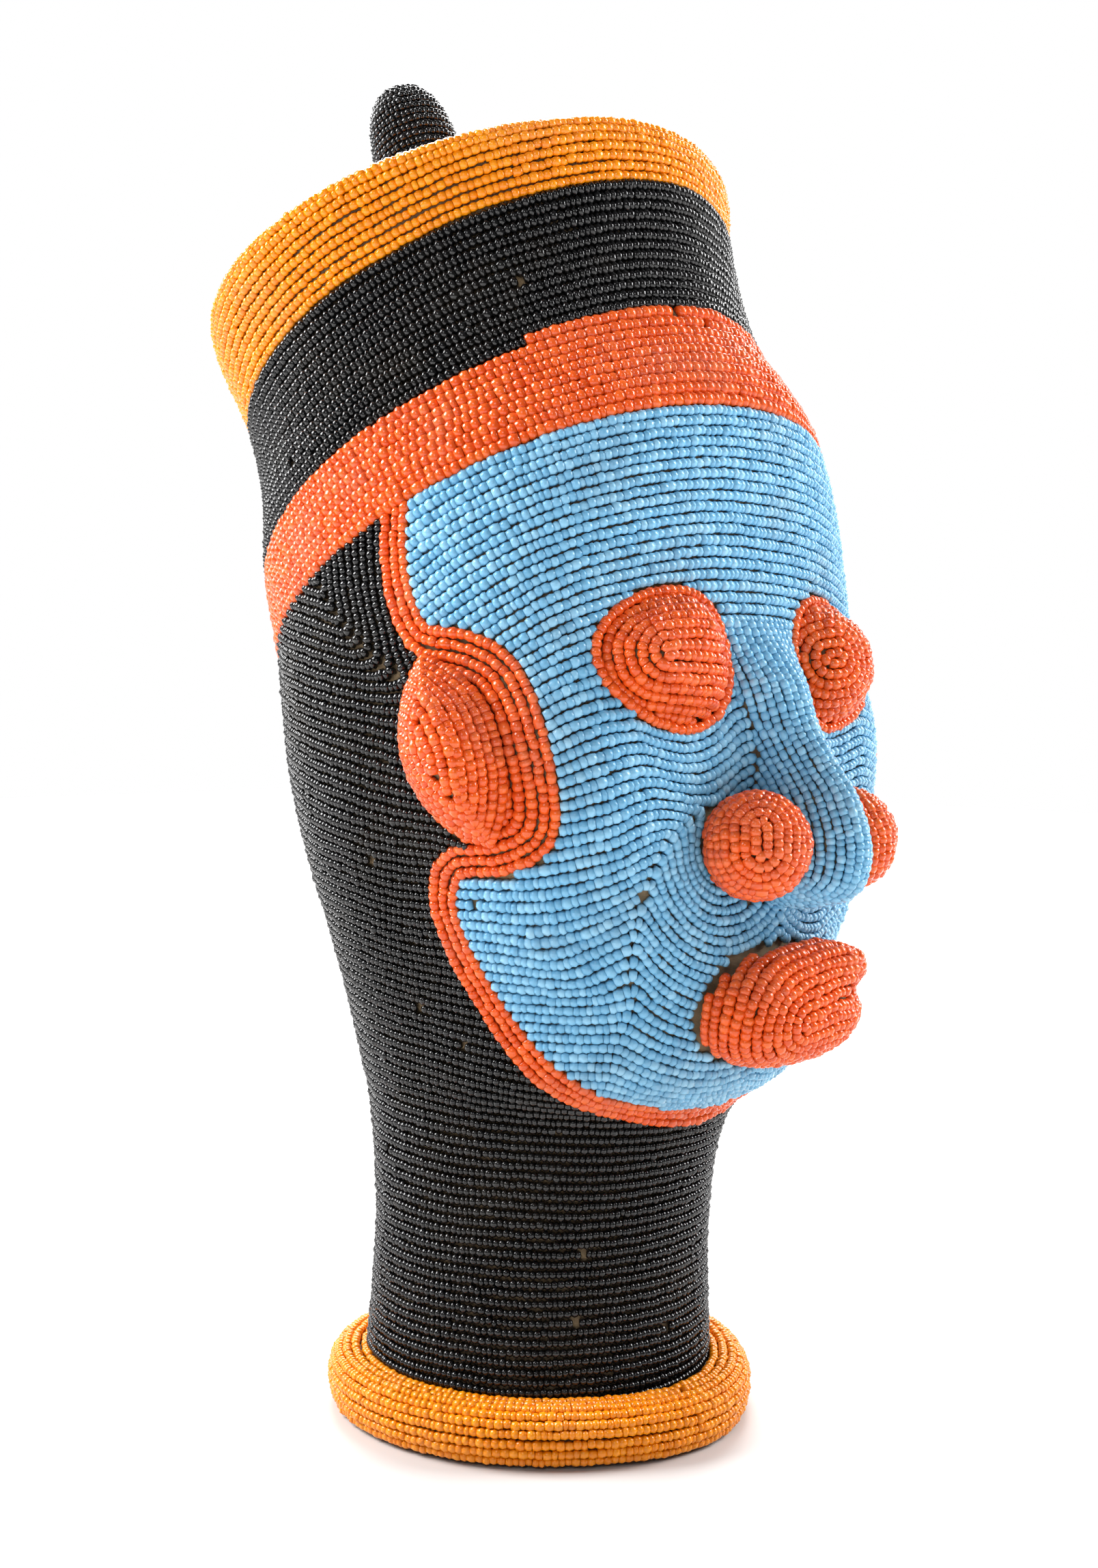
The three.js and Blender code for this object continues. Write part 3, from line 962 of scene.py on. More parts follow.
@dataclass
class HeadForm:
    """The head's outer beaded surface, by level, counted in rings, and by turn from the front."""

    rings: tuple[Ring, ...] = (
        Ring("neck_foot", 12, 0, 0, 50, 50, 50, 2),
        Ring("neck", 55, -0.5, 0, 48.5, 49, 46.5, 2),
        Ring("throat", 86, -1.5, 0.5, 50.5, 55.5, 49.5, 2),
        Ring("chin", 100, -4, 2, 54.5, 71.5, 54, 2.3),
        Ring("jaw", 120, -6.5, 6.5, 61, 77, 58.5, 2.5),
        Ring("mouth", 145, -9, 12, 71, 78, 63, 3.3),
        Ring("cheek", 172, -10.5, 18, 80, 76, 70, 3.6),
        Ring("brow", 200, -8.5, 22, 81.5, 73, 79, 3),
        Ring("hairline", 238.5, -2.5, 28.5, 81.5, 81, 81.5, 2.1),
        Ring("band_top", 259, 9, 32.5, 79.5, 80.2, 75.5, 1.85),
        Ring("waist", 280, 15.5, 31, 75, 78, 72.3, 1.85),
        Ring("rim_foot", 300.5, 22.5, 28.5, 73.5, 80, 73.5, 1.85),
        Ring("rim_flare", 319.7, 29, 24.4, 80.5, 79.5, 74.3, 1.9),
        Ring("rim_edge", 323.5, 31, 24.4, 76, 75, 69.8, 1.9),
        Ring("top", 325.6, 33, 24.2, 50, 50, 46, 2),
        Ring("crest_foot", 326.6, 38, 23, 20, 20, 20, 2),
    )
    hollows: tuple[Hollow, ...] = (Hollow(37, 205, 15, 20, 6.5), Hollow(20, 165, 12, 16, 6))
    grain: float = 0.9
    turns: int = 540
    coarse_turns: int = 36
    levels: Array = field(init=False)
    patch: Patch = field(init=False)
    shell: Shell = field(init=False)
    rise: Array = field(init=False)
    turn: Array = field(init=False)

    def __post_init__(self) -> None:
        """Draws the surface as a fine grid, with a grid row on every ring."""
        coarse = self.point(*np.meshgrid(
            np.arange(len(self.rings)), np.linspace(0, 2 * math.pi, self.coarse_turns), indexing="ij"))
        longest = np.linalg.norm(np.diff(coarse, axis=0), axis=2).max(1)
        steps = np.ceil(longest / self.grain).astype(int)
        spans = [i + np.arange(n) / n for i, n in enumerate(steps)]
        self.levels = np.append(np.concatenate(spans), len(self.rings) - 1)
        self.turn = np.arange(self.turns) * 2 * math.pi / self.turns
        self.patch = Patch(self.point(*np.meshgrid(self.levels, self.turn, indexing="ij")), closed=True)
        step = np.linalg.norm(np.diff(self.patch.points, axis=0), axis=2)
        self.rise = np.concatenate([np.zeros((1, self.turns)), np.cumsum(step, axis=0)])
        self.shell = Shell.of(self.patch)

    def above(self, name: str) -> Array:
        """How far each grid point lies above a ring, measured up the surface."""
        level = [ring.name for ring in self.rings].index(name)
        return self.rise - self.rise[int(np.searchsorted(self.levels, level))]

    def point(self, level: Array, turn: Array) -> Array:
        """Points of the surface.

        Args:
            level: places between the rings, counted from the first.
            turn: angles from the front in radians.

        Returns:
            Three numbers for each.
        """
        level, turn = np.broadcast_arrays(np.asarray(level, float), np.asarray(turn, float))
        table = np.array([[r.height, r.setback, r.lean, r.half, r.front, r.back, r.square]
                          for r in self.rings])
        height, setback, lean, half, front, back, square = np.moveaxis(through(table, level), -1, 0)
        lean = np.radians(lean)
        faces = np.cos(turn) > 0
        depth, square = np.where(faces, front, back), np.where(faces, square, 2)
        radius = (np.abs(np.sin(turn) / half) ** square + np.abs(np.cos(turn) / depth) ** square) ** (
            -1 / square)

        def place(reach: Array) -> Array:
            """Points at this radius of their rings.

            Args:
                reach: one radius for each place.

            Returns:
                Three numbers for each.
            """
            forward = reach * np.cos(turn)
            return np.stack([reach * np.sin(turn), setback - forward * np.cos(lean),
                             height + forward * np.sin(lean)], axis=-1)

        found = place(radius)
        dent = sum(h.depth * np.exp(-0.5 * (((np.abs(found[..., 0]) - h.across) / h.spread_across) ** 2
                                            + ((found[..., 2] - h.height) / h.spread_up) ** 2))
                   for h in self.hollows)
        return np.where(faces[..., None], place(radius - dent), found)

    def seat(self, level: float, turn: float, lean: float = 0.0) -> Seat:
        """A place to stand something on the surface.

        Args:
            level: counted in rings.
            turn: degrees from the front, towards +X.
            lean: degrees about the surface's normal.

        Returns:
            The seat.
        """
        step = 0.02
        turn = math.radians(turn)
        here = self.point(level, turn)
        up = self.point(level + step, turn) - self.point(level - step, turn)
        along = self.point(level, turn + step) - self.point(level, turn - step)
        return Seat.standing(here, unit(np.cross(along, up)), lean)


def spiral(profile: Array, row: float, seat: Seat) -> Array:
    """One thread that winds over a turned form.

    Args:
        profile: radius and height from one end of the form to the other.
        row: from one turn of the thread to the next.
        seat: where the form stands.

    Returns:
        A line of seven columns.
    """
    step = np.linalg.norm(np.diff(profile, axis=0), axis=1)
    reach = np.concatenate([[0], np.cumsum(step)])
    slope = unit(np.gradient(profile, axis=0))
    points_a_turn = 60
    s = np.linspace(0, reach[-1], int(reach[-1] / row * points_a_turn) + 2)
    r, h, dr, dh = (np.interp(s, reach, x) for x in (*profile.T, *slope.T))
    angle = s / row * 2 * math.pi
    c, w = np.cos(angle), np.sin(angle)
    points = np.stack([r * c, r * w, h], axis=1)
    normals = np.stack([dh * c, dh * w, -dr], axis=1)
    return line_of(seat.place(points), seat.swing(normals))


@dataclass(frozen=True)
class FaceOutline:
    """The three rows that frame the face, drawn as their middle line seen from the side."""

    path: tuple[tuple[float, float], ...] = (
        (-20, 262), (-21, 238), (-24.5, 224), (-31, 215.5), (-43, 213.5), (-53, 208.5),
        (-60, 197), (-63, 181), (-60.5, 167.5), (-50, 161.5), (-36, 159.5), (-29.7, 150),
        (-30.5, 137), (-35, 122), (-43, 107.5), (-52, 97.5), (-58.4, 91), (-66, 81), (-71, 72),
    )
    rows: int = 3
    fine: int = 240
    steepest: float = 0.15

    def half_width(self) -> float:
        """Half the width of the rows together."""
        return self.rows / 2 * ROCAILLE.row

    def offset(self, patch: Patch) -> Array:
        """How far each grid point lies from the middle line, above zero towards the face.

        Args:
            patch: the head's surface.

        Returns:
            One distance for each grid point.
        """
        line = through(np.array(self.path), np.linspace(0, len(self.path) - 1, self.fine))
        ahead = unit(np.gradient(line, axis=0))
        seen = patch.points[..., 1:].reshape(-1, 2)
        found = np.empty(len(seen))
        way = np.empty((len(seen), 2))
        chunk = 20000
        for start in range(0, len(seen), chunk):
            gap = seen[start:start + chunk, None] - line
            near = np.argmin((gap ** 2).sum(2), axis=1)
            to = gap[np.arange(len(near)), near]
            facing = np.stack([ahead[near, 1], -ahead[near, 0]], axis=1)
            found[start:start + chunk] = np.linalg.norm(to, axis=1) * np.sign((to * facing).sum(1))
            way[start:start + chunk] = unit(to)
        slant = (way * patch.normals[..., 1:].reshape(-1, 2)).sum(1)
        return (found / np.sqrt(np.maximum(1 - slant ** 2, self.steepest))).reshape(patch.points.shape[:2])


# Raised parts


class RaisedPart:
    """A part that stands on the head and is beaded all over.

    Attributes:
        label: the frame's name for it, without a side.
        kind: the beads on it.
        slot: their colour.
    """

    label: str = ""
    kind: BeadKind = ROCAILLE
    slot: Slot = Slot.RED

    def name(self) -> str:
        """The frame's name for the part, with its side if it is one of two."""
        side = getattr(self, "side", None)
        return f"{self.label}_{side.name.lower()}" if side else self.label

    def lines(self, form: HeadForm) -> list[Array]:
        """The lines that its beads are strung along."""
        raise NotImplementedError

    def make(self, shop: Workshop, form: HeadForm, seed: int) -> None:
        """Makes the part's beads."""
        shop.beads(f"beads_{self.name()}", self.lines(form), self.kind, self.slot, (self.name(),), seed)


@dataclass(frozen=True)
class Eye(RaisedPart):
    """An egg-shaped ring of beads round a blunt cone, whose rows go round a level seam."""

    label = "eye"
    side: Side
    aside: float
    seam: tuple[float, float]
    level: float = 6.6
    turn: float = 28.5
    half_across: float = 21.4
    half_up: float = 17.2
    square: float = 2.2
    egg: float = 0.21
    ring_lift: float = 1.0
    ring_tilt: float = 0.25
    gutter: float = 0.985
    sunk: float = 1.6
    height: float = 13.2
    blunt: tuple[float, float] = (3.8, 1.4)
    grid: tuple[int, int] = (36, 120)
    seam_marks: int = 12

    def seat(self, form: HeadForm) -> Seat:
        """Where the eye stands."""
        return form.seat(self.level, self.side * self.turn)

    def rim(self, turn: Array) -> Array:
        """The ring's middle line across and up, which is highest towards the nose.

        Args:
            turn: angles round the ring.

        Returns:
            Two numbers for each angle.
        """
        c, s = np.cos(turn), np.sin(turn)
        c, s = (np.sign(x) * np.abs(x) ** (2 / self.square) for x in (c, s))
        return np.stack([self.half_across * c, self.half_up * s * (1 - self.egg * self.side * c)], axis=-1)

    def outside(self, local: Array) -> Array:
        """About how far places lie outside the ring's middle line, seen along the seat.

        Args:
            local: places given from the seat.

        Returns:
            One distance for each place.
        """
        c = local[..., 0] / self.half_across
        up = self.half_up * (1 - self.egg * self.side * np.clip(c, -1, 1))
        share = (np.abs(c) ** self.square + np.abs(local[..., 1] / up) ** self.square) ** (1 / self.square)
        share = np.maximum(share, 1e-3)
        return (1 - 1 / share) * np.hypot(local[..., 0], local[..., 1])

    def ring_line(self, form: HeadForm) -> Array:
        """The ring's thread, which lies on the head.

        Args:
            form: the head.

        Returns:
            A line of seven columns.
        """
        seat = self.seat(form)
        steps = 91
        flat = self.rim(np.linspace(0, 2 * math.pi, steps))
        height = form.shell.drop(seat, flat) + self.ring_lift
        place = np.concatenate([flat, height[:, None]], axis=1)
        tilt = np.concatenate([self.ring_tilt * flat / self.half_across, np.ones((len(flat), 1))], axis=1)
        return line_of(seat.place(place), seat.swing(unit(tilt)))

    def patch(self, form: HeadForm) -> Patch:
        """The cone as a grid, from the gutter in to the tip and round.

        Args:
            form: the head.

        Returns:
            The grid.
        """
        rows, columns = self.grid
        share, turn = np.meshgrid(np.linspace(1, 0.02, rows),
                                  np.arange(columns) * 2 * math.pi / columns, indexing="ij")
        tip = np.array([self.side * self.aside, 0.0])
        flat = tip + (self.gutter * self.rim(turn) - tip) * share[..., None]
        seat = self.seat(form)
        foot = form.shell.drop(seat, flat[0]) - self.sunk
        to_nose = 0.5 - 0.5 * self.side * np.cos(turn)
        blunt = self.blunt[1] + (self.blunt[0] - self.blunt[1]) * to_nose
        height = foot * share ** 2 + self.height * (1 - share ** blunt)
        return Patch(seat.place(np.concatenate([flat, height[..., None]], axis=-1)), closed=True)

    def lines(self, form: HeadForm) -> list[Array]:
        """The ring's thread and the cone's rows.

        Args:
            form: the head.

        Returns:
            Lines of seven columns.
        """
        patch = self.patch(form)
        across = np.linspace(*self.seam, self.seam_marks)
        flat = self.seat(form).local(patch.points)[..., :2]
        seam = patch.nearest(flat, np.stack([across, 0 * across], axis=1))
        inside = np.linspace(-0.1, 3.0, len(patch.points))[:, None] + np.zeros(patch.points.shape[:2])
        rows = patch.trace(gap_to(patch.points, seam), inside, self.kind.row)
        return [self.ring_line(form), *rows]


@dataclass(frozen=True)
class Nostril(RaisedPart):
    """A beaded ball beside the nose, whose rows go round a short upright seam."""

    label = "nostril"
    side: Side
    across: float = 19.6
    front: float = -89.5
    height: float = 165.0
    radius: float = 14.2
    pole: tuple[float, float, float] = (0.72, -0.66, 0.2)
    seam: float = 3.4
    seam_marks: int = 9
    wound_to: float = 140.0
    grid: tuple[int, int] = (60, 100)
    sunk: float = 0.8

    def centre(self) -> Array:
        """The ball's middle."""
        return np.array([self.side * self.across, self.front, self.height])

    def seat(self) -> Seat:
        """The ball's middle and its pole."""
        pole = unit(np.array([self.side * self.pole[0], *self.pole[1:]]))
        return Seat.standing(self.centre(), pole)

    def patch(self) -> Patch:
        """The ball as a grid, from far round the back to the pole.

        Returns:
            The grid.
        """
        rows, columns = self.grid
        away, turn = np.meshgrid(np.radians(np.linspace(self.wound_to, 1, rows)),
                                 np.arange(columns) * 2 * math.pi / columns, indexing="ij")
        local = np.stack([np.sin(away) * np.cos(turn), np.sin(away) * np.sin(turn), np.cos(away)], axis=-1)
        return Patch(self.seat().place(self.radius * local), closed=True)

    def lines(self, form: HeadForm) -> list[Array]:
        """The ball's rows, where it lies outside the face.

        Args:
            form: the head.

        Returns:
            Lines of seven columns.
        """
        patch = self.patch()
        lean = np.linspace(-self.seam, self.seam, self.seam_marks) / self.radius
        seam = self.radius * np.stack([0 * lean, np.sin(lean), np.cos(lean)], axis=1)
        gap = round_the_bend(gap_to(patch.points, self.seat().place(seam)), self.radius)
        return patch.trace(gap, form.shell.outside(patch.points) - self.sunk, self.kind.row)

    def outside(self, points: Array) -> Array:
        """How far points lie outside the ball."""
        return np.linalg.norm(points - self.centre(), axis=-1) - self.radius


@dataclass(frozen=True)
class Ear(RaisedPart):
    """A long dome, pointed at both ends and steepest in front, of rows that follow its rim.

    Attributes:
        bed: how far the red ground reaches, over the ear's rim, from the outline and in front.
        near: how far off its seat the head can lie for the ear to be on it.
    """

    label = "ear"
    side: Side
    level: float = 6.2
    turn: float = 67.8
    lean: float = -21.0
    half_across: float = 15.2
    half_up: float = 26.0
    reach_front: float = 6.0
    reach_back: float = 21.0
    curve: float = 2.0
    height: float = 15.0
    margin: float = 1.0
    ridge: float = 2.5
    brim: float = 3.0
    grid: tuple[int, int] = (96, 66)
    bed: tuple[float, float, float] = (8.0, 7.0, 0.5)
    near: float = 20.0

    def seat(self, form: HeadForm) -> Seat:
        """Where the ear stands."""
        return form.seat(self.level, self.side * self.turn, self.side * self.lean)

    def depths(self, across: Array, up: Array) -> tuple[Array, Array]:
        """How far a place lies inside the front bow of the ear's rim, and inside the back one.

        Args:
            across: places over the seat.
            up: the same places' heights.

        Returns:
            Two distances for each place.
        """
        bow = (self.half_up ** 2 + self.half_across ** 2) / (2 * self.half_across)
        aside = self.side * (bow - self.half_across)
        return bow - np.hypot(across - aside, up), bow - np.hypot(across + aside, up)

    def inset(self, across: Array, up: Array) -> Array:
        """How far a place lies inside the ear's rim."""
        return np.minimum(*self.depths(across, up))

    def dome(self) -> tuple[Array, Array, Array, Array]:
        """The dome over a flat ground, as a grid.

        Returns:
            Places across and up, the height over them and the distance from the rim up the dome.
        """
        rows, columns = self.grid
        across, up = np.meshgrid(np.linspace(-1, 1, columns) * (self.half_across + self.margin),
                                 np.linspace(-1, 1, rows) * (self.half_up + self.margin))
        steps = np.linspace(0, 2 * self.half_up, 300)
        heights, climbs = [], []
        for depth, reach in zip(self.depths(across, up), (self.reach_front, self.reach_back)):
            height = self.height * (1 - np.maximum(1 - steps / reach, 0) ** self.curve)
            climb = np.concatenate([[0], np.cumsum(np.hypot(np.diff(steps), np.diff(height)))])
            heights.append(np.interp(depth, steps, height))
            climbs.append(np.interp(depth, steps, climb))
        return across, up, soft_min(*heights, self.ridge), np.minimum(*climbs)

    def patch(self, form: HeadForm) -> Patch:
        """The dome on the head, as a grid.

        Args:
            form: the head.

        Returns:
            The grid.
        """
        across, up, dome, _ = self.dome()
        seat = self.seat(form)
        ground = form.shell.drop(seat, np.stack([across, up], axis=-1))
        height = ground + dome + self.brim * np.minimum(self.inset(across, up), 0)
        return Patch(seat.place(np.stack([across, up, height], axis=-1)), closed=False)

    def lines(self, form: HeadForm) -> list[Array]:
        """The ear's rows, which follow its rim."""
        across, up, _, climb = self.dome()
        return self.patch(form).trace(climb, self.inset(across, up), self.kind.row)

    def ground(self, form: HeadForm, gap: Array) -> Array:
        """How far the head's grid points lie inside the ear and the red ground before it.

        Args:
            form: the head.
            gap: from the outline's rows, towards the back.

        Returns:
            One distance for each grid point, far below zero where the ear isn't.
        """
        across, up, out = np.moveaxis(self.seat(form).local(form.patch.points), -1, 0)
        inset = np.where(np.abs(out) < self.near, self.inset(across, up), FAR_OUTSIDE)
        over, aside, before = self.bed
        front = self.depths(across, up)[1] + before
        return np.maximum(inset, np.min([inset + over, aside - gap, front], axis=0))


@dataclass(frozen=True)
class Lips(RaisedPart):
    """One rounded mass with a groove that opens towards one corner, its rows round a seam."""

    label = "lips"
    front: float = -79.0
    aside: float = 1.5
    height: float = 122.0
    half: float = 28.5
    depth: float = 19.5
    half_up: float = 16.3
    square: float = 2.7
    square_up: tuple[float, float] = (2.2, 4.2)
    square_down: float = 2.2
    groove: float = 0.2
    groove_at: float = 3.5
    groove_width: float = 3.2
    flare: float = 0.36
    seam_from: tuple[float, float] = (-7.0, -2.5)
    seam_to: tuple[float, float] = (13.0, 0.5)
    seam_marks: int = 12
    bend: float = 19.0
    sunk: float = 0.5
    grid: tuple[int, int] = (100, 140)

    def level(self, across: Array, up: Array) -> Array:
        """How square the outline is, by the share across and the side of the middle it is on.

        Args:
            across: shares of the half width, from -1 to 1.
            up: heights over the middle.

        Returns:
            The power of the outline at each place.
        """
        near, far = self.square_up
        above = near + (far - near) * (0.5 + 0.5 * np.clip(across, -1, 1))
        return np.where(up > 0, above, self.square_down)

    def patch(self, form: HeadForm) -> Patch:
        """The lips as a grid that starts from the face, from the lower edge up and from end to end.

        Args:
            form: the head.

        Returns:
            The grid.
        """
        rows, columns = self.grid
        v, u = np.meshgrid(np.linspace(-0.499, 0.499, rows) * math.pi,
                           np.linspace(-0.5, 0.5, columns) * math.pi, indexing="ij")
        level = self.level(np.sin(u), v)
        ring = np.abs(np.cos(v)) ** (2 / level)
        height = self.half_up * np.sign(v) * np.abs(np.sin(v)) ** (2 / level)
        across = self.half * np.sign(u) * np.abs(np.sin(u)) ** (2 / self.square) * ring
        opening = np.clip(across / self.half, 0, 1)
        opening = opening ** 2 * (3 - 2 * opening)
        notch = np.exp(-((height - self.groove_at) / self.groove_width) ** 2)
        lobe = np.clip((height - self.groove_at) / self.half_up, 0, 1)
        depth = self.depth * (1 - self.groove * opening * notch + self.flare * opening * lobe)
        seat = Seat.standing(np.array([self.aside, self.front, self.height]), np.array([0.0, -1.0, 0.0]))
        ground = form.shell.drop(seat, np.stack([across, height], axis=-1))
        share = np.abs(np.cos(u)) ** (2 / self.square) * ring
        out = ground + (depth - ground) * share
        return Patch(seat.place(np.stack([across, height, out], axis=-1)), closed=False)

    def gap(self, points: Array) -> Array:
        """About how far points of the face lie from the lips' outline, seen from the front.

        Args:
            points: three numbers each.

        Returns:
            One number for each point.
        """
        across, up = points[..., 0] - self.aside, points[..., 2] - self.height
        square = self.level(across / self.half, up)
        share = (np.abs(across / self.half) ** square + np.abs(up / self.half_up) ** square) ** (1 / square)
        return (1 - 1 / np.maximum(share, 1e-3)) * np.hypot(across, up)

    def covers(self, points: Array) -> Array:
        """How far the lips stand in front of points of the face, below zero where they don't.

        Args:
            points: three numbers each.

        Returns:
            One number for each point.
        """
        across, up = points[..., 0] - self.aside, points[..., 2] - self.height
        level = self.level(across / self.half, up)
        rise = np.clip(np.abs(up) / self.half_up, 0, 1) ** level
        ring = (1 - rise) ** (1 / level)
        side = np.clip(np.abs(across) / np.maximum(self.half * ring, 1e-6), 0, 1) ** self.square
        out = (self.depth - self.front + points[..., 1]) * (1 - side) ** (1 / self.square) * ring
        return np.where((rise < 1) & (side < 1) & (points[..., 1] < 0), out, -1.0)

    def lines(self, form: HeadForm) -> list[Array]:
        """The lips' rows, which go round the seam in their middle.

        Args:
            form: the head.

        Returns:
            Lines of seven columns.
        """
        patch = self.patch(form)
        flat = np.stack([patch.points[..., 0], patch.points[..., 2] - self.height], axis=-1)
        start, end = np.array(self.seam_from), np.array(self.seam_to)
        seam = patch.nearest(flat, start + (end - start) * np.linspace(0, 1, self.seam_marks)[:, None])
        gap = round_the_bend(gap_to(patch.points, seam), self.bend)
        return patch.trace(gap, form.shell.outside(patch.points) - self.sunk, self.kind.row)


@dataclass(frozen=True)
class NoseSection:
    """Half an oval from its root to its tip, both seen from the side as (y, z).

    square is 2 for half an ellipse and less for a sharper ridge.
    """

    tip: tuple[float, float]
    root: tuple[float, float]
    half: float
    square: float = 2.0
    aside: float = 0.0


@dataclass(frozen=True)
class Nose:
    """The nose, whose rows run down it from the brow and round under its blunt end."""

    sections: tuple[NoseSection, ...] = (
        NoseSection((-77.6, 222), (-73, 222), 18.6, 1.7),
        NoseSection((-80.5, 217), (-72, 217), 18.4, 1.6),
        NoseSection((-84.5, 212), (-71, 212), 18.0, 1.6),
        NoseSection((-89.5, 205), (-71, 205), 16.6, 1.6),
        NoseSection((-92.8, 196), (-74, 196), 12.4, 1.75, 0.6),
        NoseSection((-98.4, 187), (-74, 187), 9.4, 1.9, 1.2),
        NoseSection((-104.6, 178), (-74, 178), 10.2, 2.0, 1.8),
        NoseSection((-108.5, 167), (-74, 167), 11.6, 2.1, 2.2),
        NoseSection((-108, 158), (-76, 158), 13.0, 2.1, 2.2),
        NoseSection((-104, 151.5), (-76, 158), 13.5, 2.0, 2.0),
        NoseSection((-94, 148.0), (-76, 158), 13.0, 2.0, 1.5),
        NoseSection((-82, 147.5), (-74, 158), 12.0, 2.0, 1.0),
    )
    level_sections: int = 9
    grid: tuple[int, int] = (140, 71)
    sunk: float = 0.8
    foot: float = 8.0

    def table(self) -> Array:
        """Each section as tip y, tip z, root y, root z, half width, power and ridge x."""
        return np.array([(*s.tip, *s.root, s.half, s.square, s.aside) for s in self.sections], float)

    def patch(self) -> Patch:
        """The nose as a grid, from the brow down and from one side to the other.

        Returns:
            The grid.
        """
        table = self.table()
        rows, columns = self.grid
        cut = through(table, np.linspace(0, len(table) - 1, rows))[:, None]
        turn = np.linspace(-0.5, 0.5, columns) * math.pi
        power = 2 / cut[..., 5]
        depth = np.abs(np.cos(turn)) ** power
        x = cut[..., 4] * np.sign(turn) * np.abs(np.sin(turn)) ** power + cut[..., 6] * depth
        y = cut[..., 2] + (cut[..., 0] - cut[..., 2]) * depth
        z = cut[..., 3] + (cut[..., 1] - cut[..., 3]) * depth
        return Patch(np.stack([x, y, z], axis=-1), closed=False, flip=True)

    def columns(self, patch: Patch) -> Array:
        """Distance from the ridge, measured across the nose.

        Args:
            patch: the nose's grid.

        Returns:
            One distance for each grid point.
        """
        step = np.linalg.norm(np.diff(patch.points, axis=1), axis=2)
        reach = np.concatenate([np.zeros((len(step), 1)), np.cumsum(step, axis=1)], axis=1)
        return reach - reach[:, reach.shape[1] // 2][:, None]

    def lines(self, form: HeadForm, row: float) -> list[Array]:
        """The nose's rows, where it lies outside the face or hardly under it.

        Args:
            form: the head.
            row: from one row to the next.

        Returns:
            Lines of seven columns.
        """
        patch = self.patch()
        outside = form.shell.outside(patch.points) + self.sunk
        return patch.trace(self.columns(patch), outside, row, first=0.0)

    def covers(self, points: Array) -> Array:
        """How far the nose stands in front of points of the face, below zero where it doesn't.

        Args:
            points: three numbers each.

        Returns:
            One number for each point.
        """
        table = self.table()[:self.level_sections][::-1]
        z = points[..., 2]
        front, root, half, square = (np.interp(z, table[:, 1], table[:, k]) for k in (0, 2, 4, 5))
        share = np.clip(1 - np.abs(points[..., 0] / half) ** square, 0, 1)
        nose = root + (front - root) * share ** (1 / square)
        hidden = (np.abs(points[..., 0]) < half) & (z > table[0, 1] - self.foot) & (z < table[-1, 1])
        return np.where(hidden, points[..., 1] - nose, -1.0)


@dataclass(frozen=True)
class Crest(RaisedPart):
    """A black beaded finger with a rounded tip."""

    label = "crest"
    kind = SMALL_BLACK
    slot = Slot.BLACK
    setback: float = 38.3
    height: float = 327.0
    lean: float = 22.2
    length: float = 63.0
    radii: tuple[tuple[float, float], ...] = (
        (0.0, 20.0), (0.2, 16.5), (0.4, 14.6), (0.6, 13.8), (0.74, 12.9), (0.86, 11.2), (0.945, 8.2),
        (0.988, 4.2), (1.0, 0.5),
    )

    def seat(self) -> Seat:
        """The middle of the crown's top, leaning back with it.

        Returns:
            The seat, whose out runs along the crest.
        """
        lean = math.radians(self.lean)
        out = np.array([0.0, math.sin(lean), math.cos(lean)])
        return Seat(np.array([0.0, self.setback, self.height]), np.array([1.0, 0.0, 0.0]),
                    np.cross(out, (1.0, 0.0, 0.0)), out)

    def profile(self) -> Array:
        """Radius and height, from the foot to the tip.

        Returns:
            Two numbers for each step up the crest.
        """
        table = np.array(self.radii)
        share, radius = through(table, np.linspace(0, len(table) - 1, 60)).T
        return np.stack([radius, share * self.length], axis=1)

    def lines(self, form: HeadForm) -> list[Array]:
        """The one thread that all its beads are on."""
        return [spiral(self.profile(), self.kind.row, self.seat())]


@dataclass(frozen=True)
class Foot:
    """The round foot, covered with rings of orange beads over a dirty hem."""

    front_bulge: float = 4.0
    inner: float = 48.0
    turns: int = 360
    under: tuple[float, float] = (2.6, 7.0)
    radius: float = 60.6
    height: float = 16.5
    edge: float = 7.0
    hem: float = 0.4
    row: float = 2.86

    def profile(self) -> Array:
        """Radius and height, from the hem up round the edge and in to the neck.

        Returns:
            Two numbers for each step.
        """
        angle = np.radians(np.linspace(0, 90, 12))
        radius, top, edge = self.radius, self.height, self.edge
        bend = np.stack([radius - edge + edge * np.cos(angle), top - edge + edge * np.sin(angle)], axis=1)
        side = [(radius - self.under[0] * max(1 - z / self.under[1], 0) ** 2, z)
                for z in np.linspace(self.hem, top - edge, 8, endpoint=False)]
        flat = [(r, top) for r in np.linspace(radius - edge, self.inner, 7)[1:]]
        return np.concatenate([side, bend, flat])

    def patch(self) -> Patch:
        """The foot's surface as a grid.

        Returns:
            The grid.
        """
        profile = self.profile()
        turn = np.arange(self.turns) * 2 * math.pi / self.turns
        r, z = profile[:, :1] + self.front_bulge * np.maximum(np.cos(turn), 0) ** 8, profile[:, 1:]
        return Patch(np.stack([r * np.sin(turn), -r * np.cos(turn), z + 0 * turn], axis=-1), closed=True)

    def make(self, shop: Workshop, seed: int) -> None:
        """Makes the foot's beads.

        Args:
            shop: where the piece is made.
            seed: for its beads.
        """
        patch = self.patch()
        step = np.linalg.norm(np.diff(patch.points, axis=0), axis=2)
        reach = np.concatenate([np.zeros((1, self.turns)), np.cumsum(step, axis=0)])
        lines = patch.trace(reach, np.ones_like(reach), self.row)
        shop.beads("beads_foot", lines, SMALL_ROCAILLE, Slot.ORANGE, ("foot_beads",), seed)


# How the rows of the head's own surface run


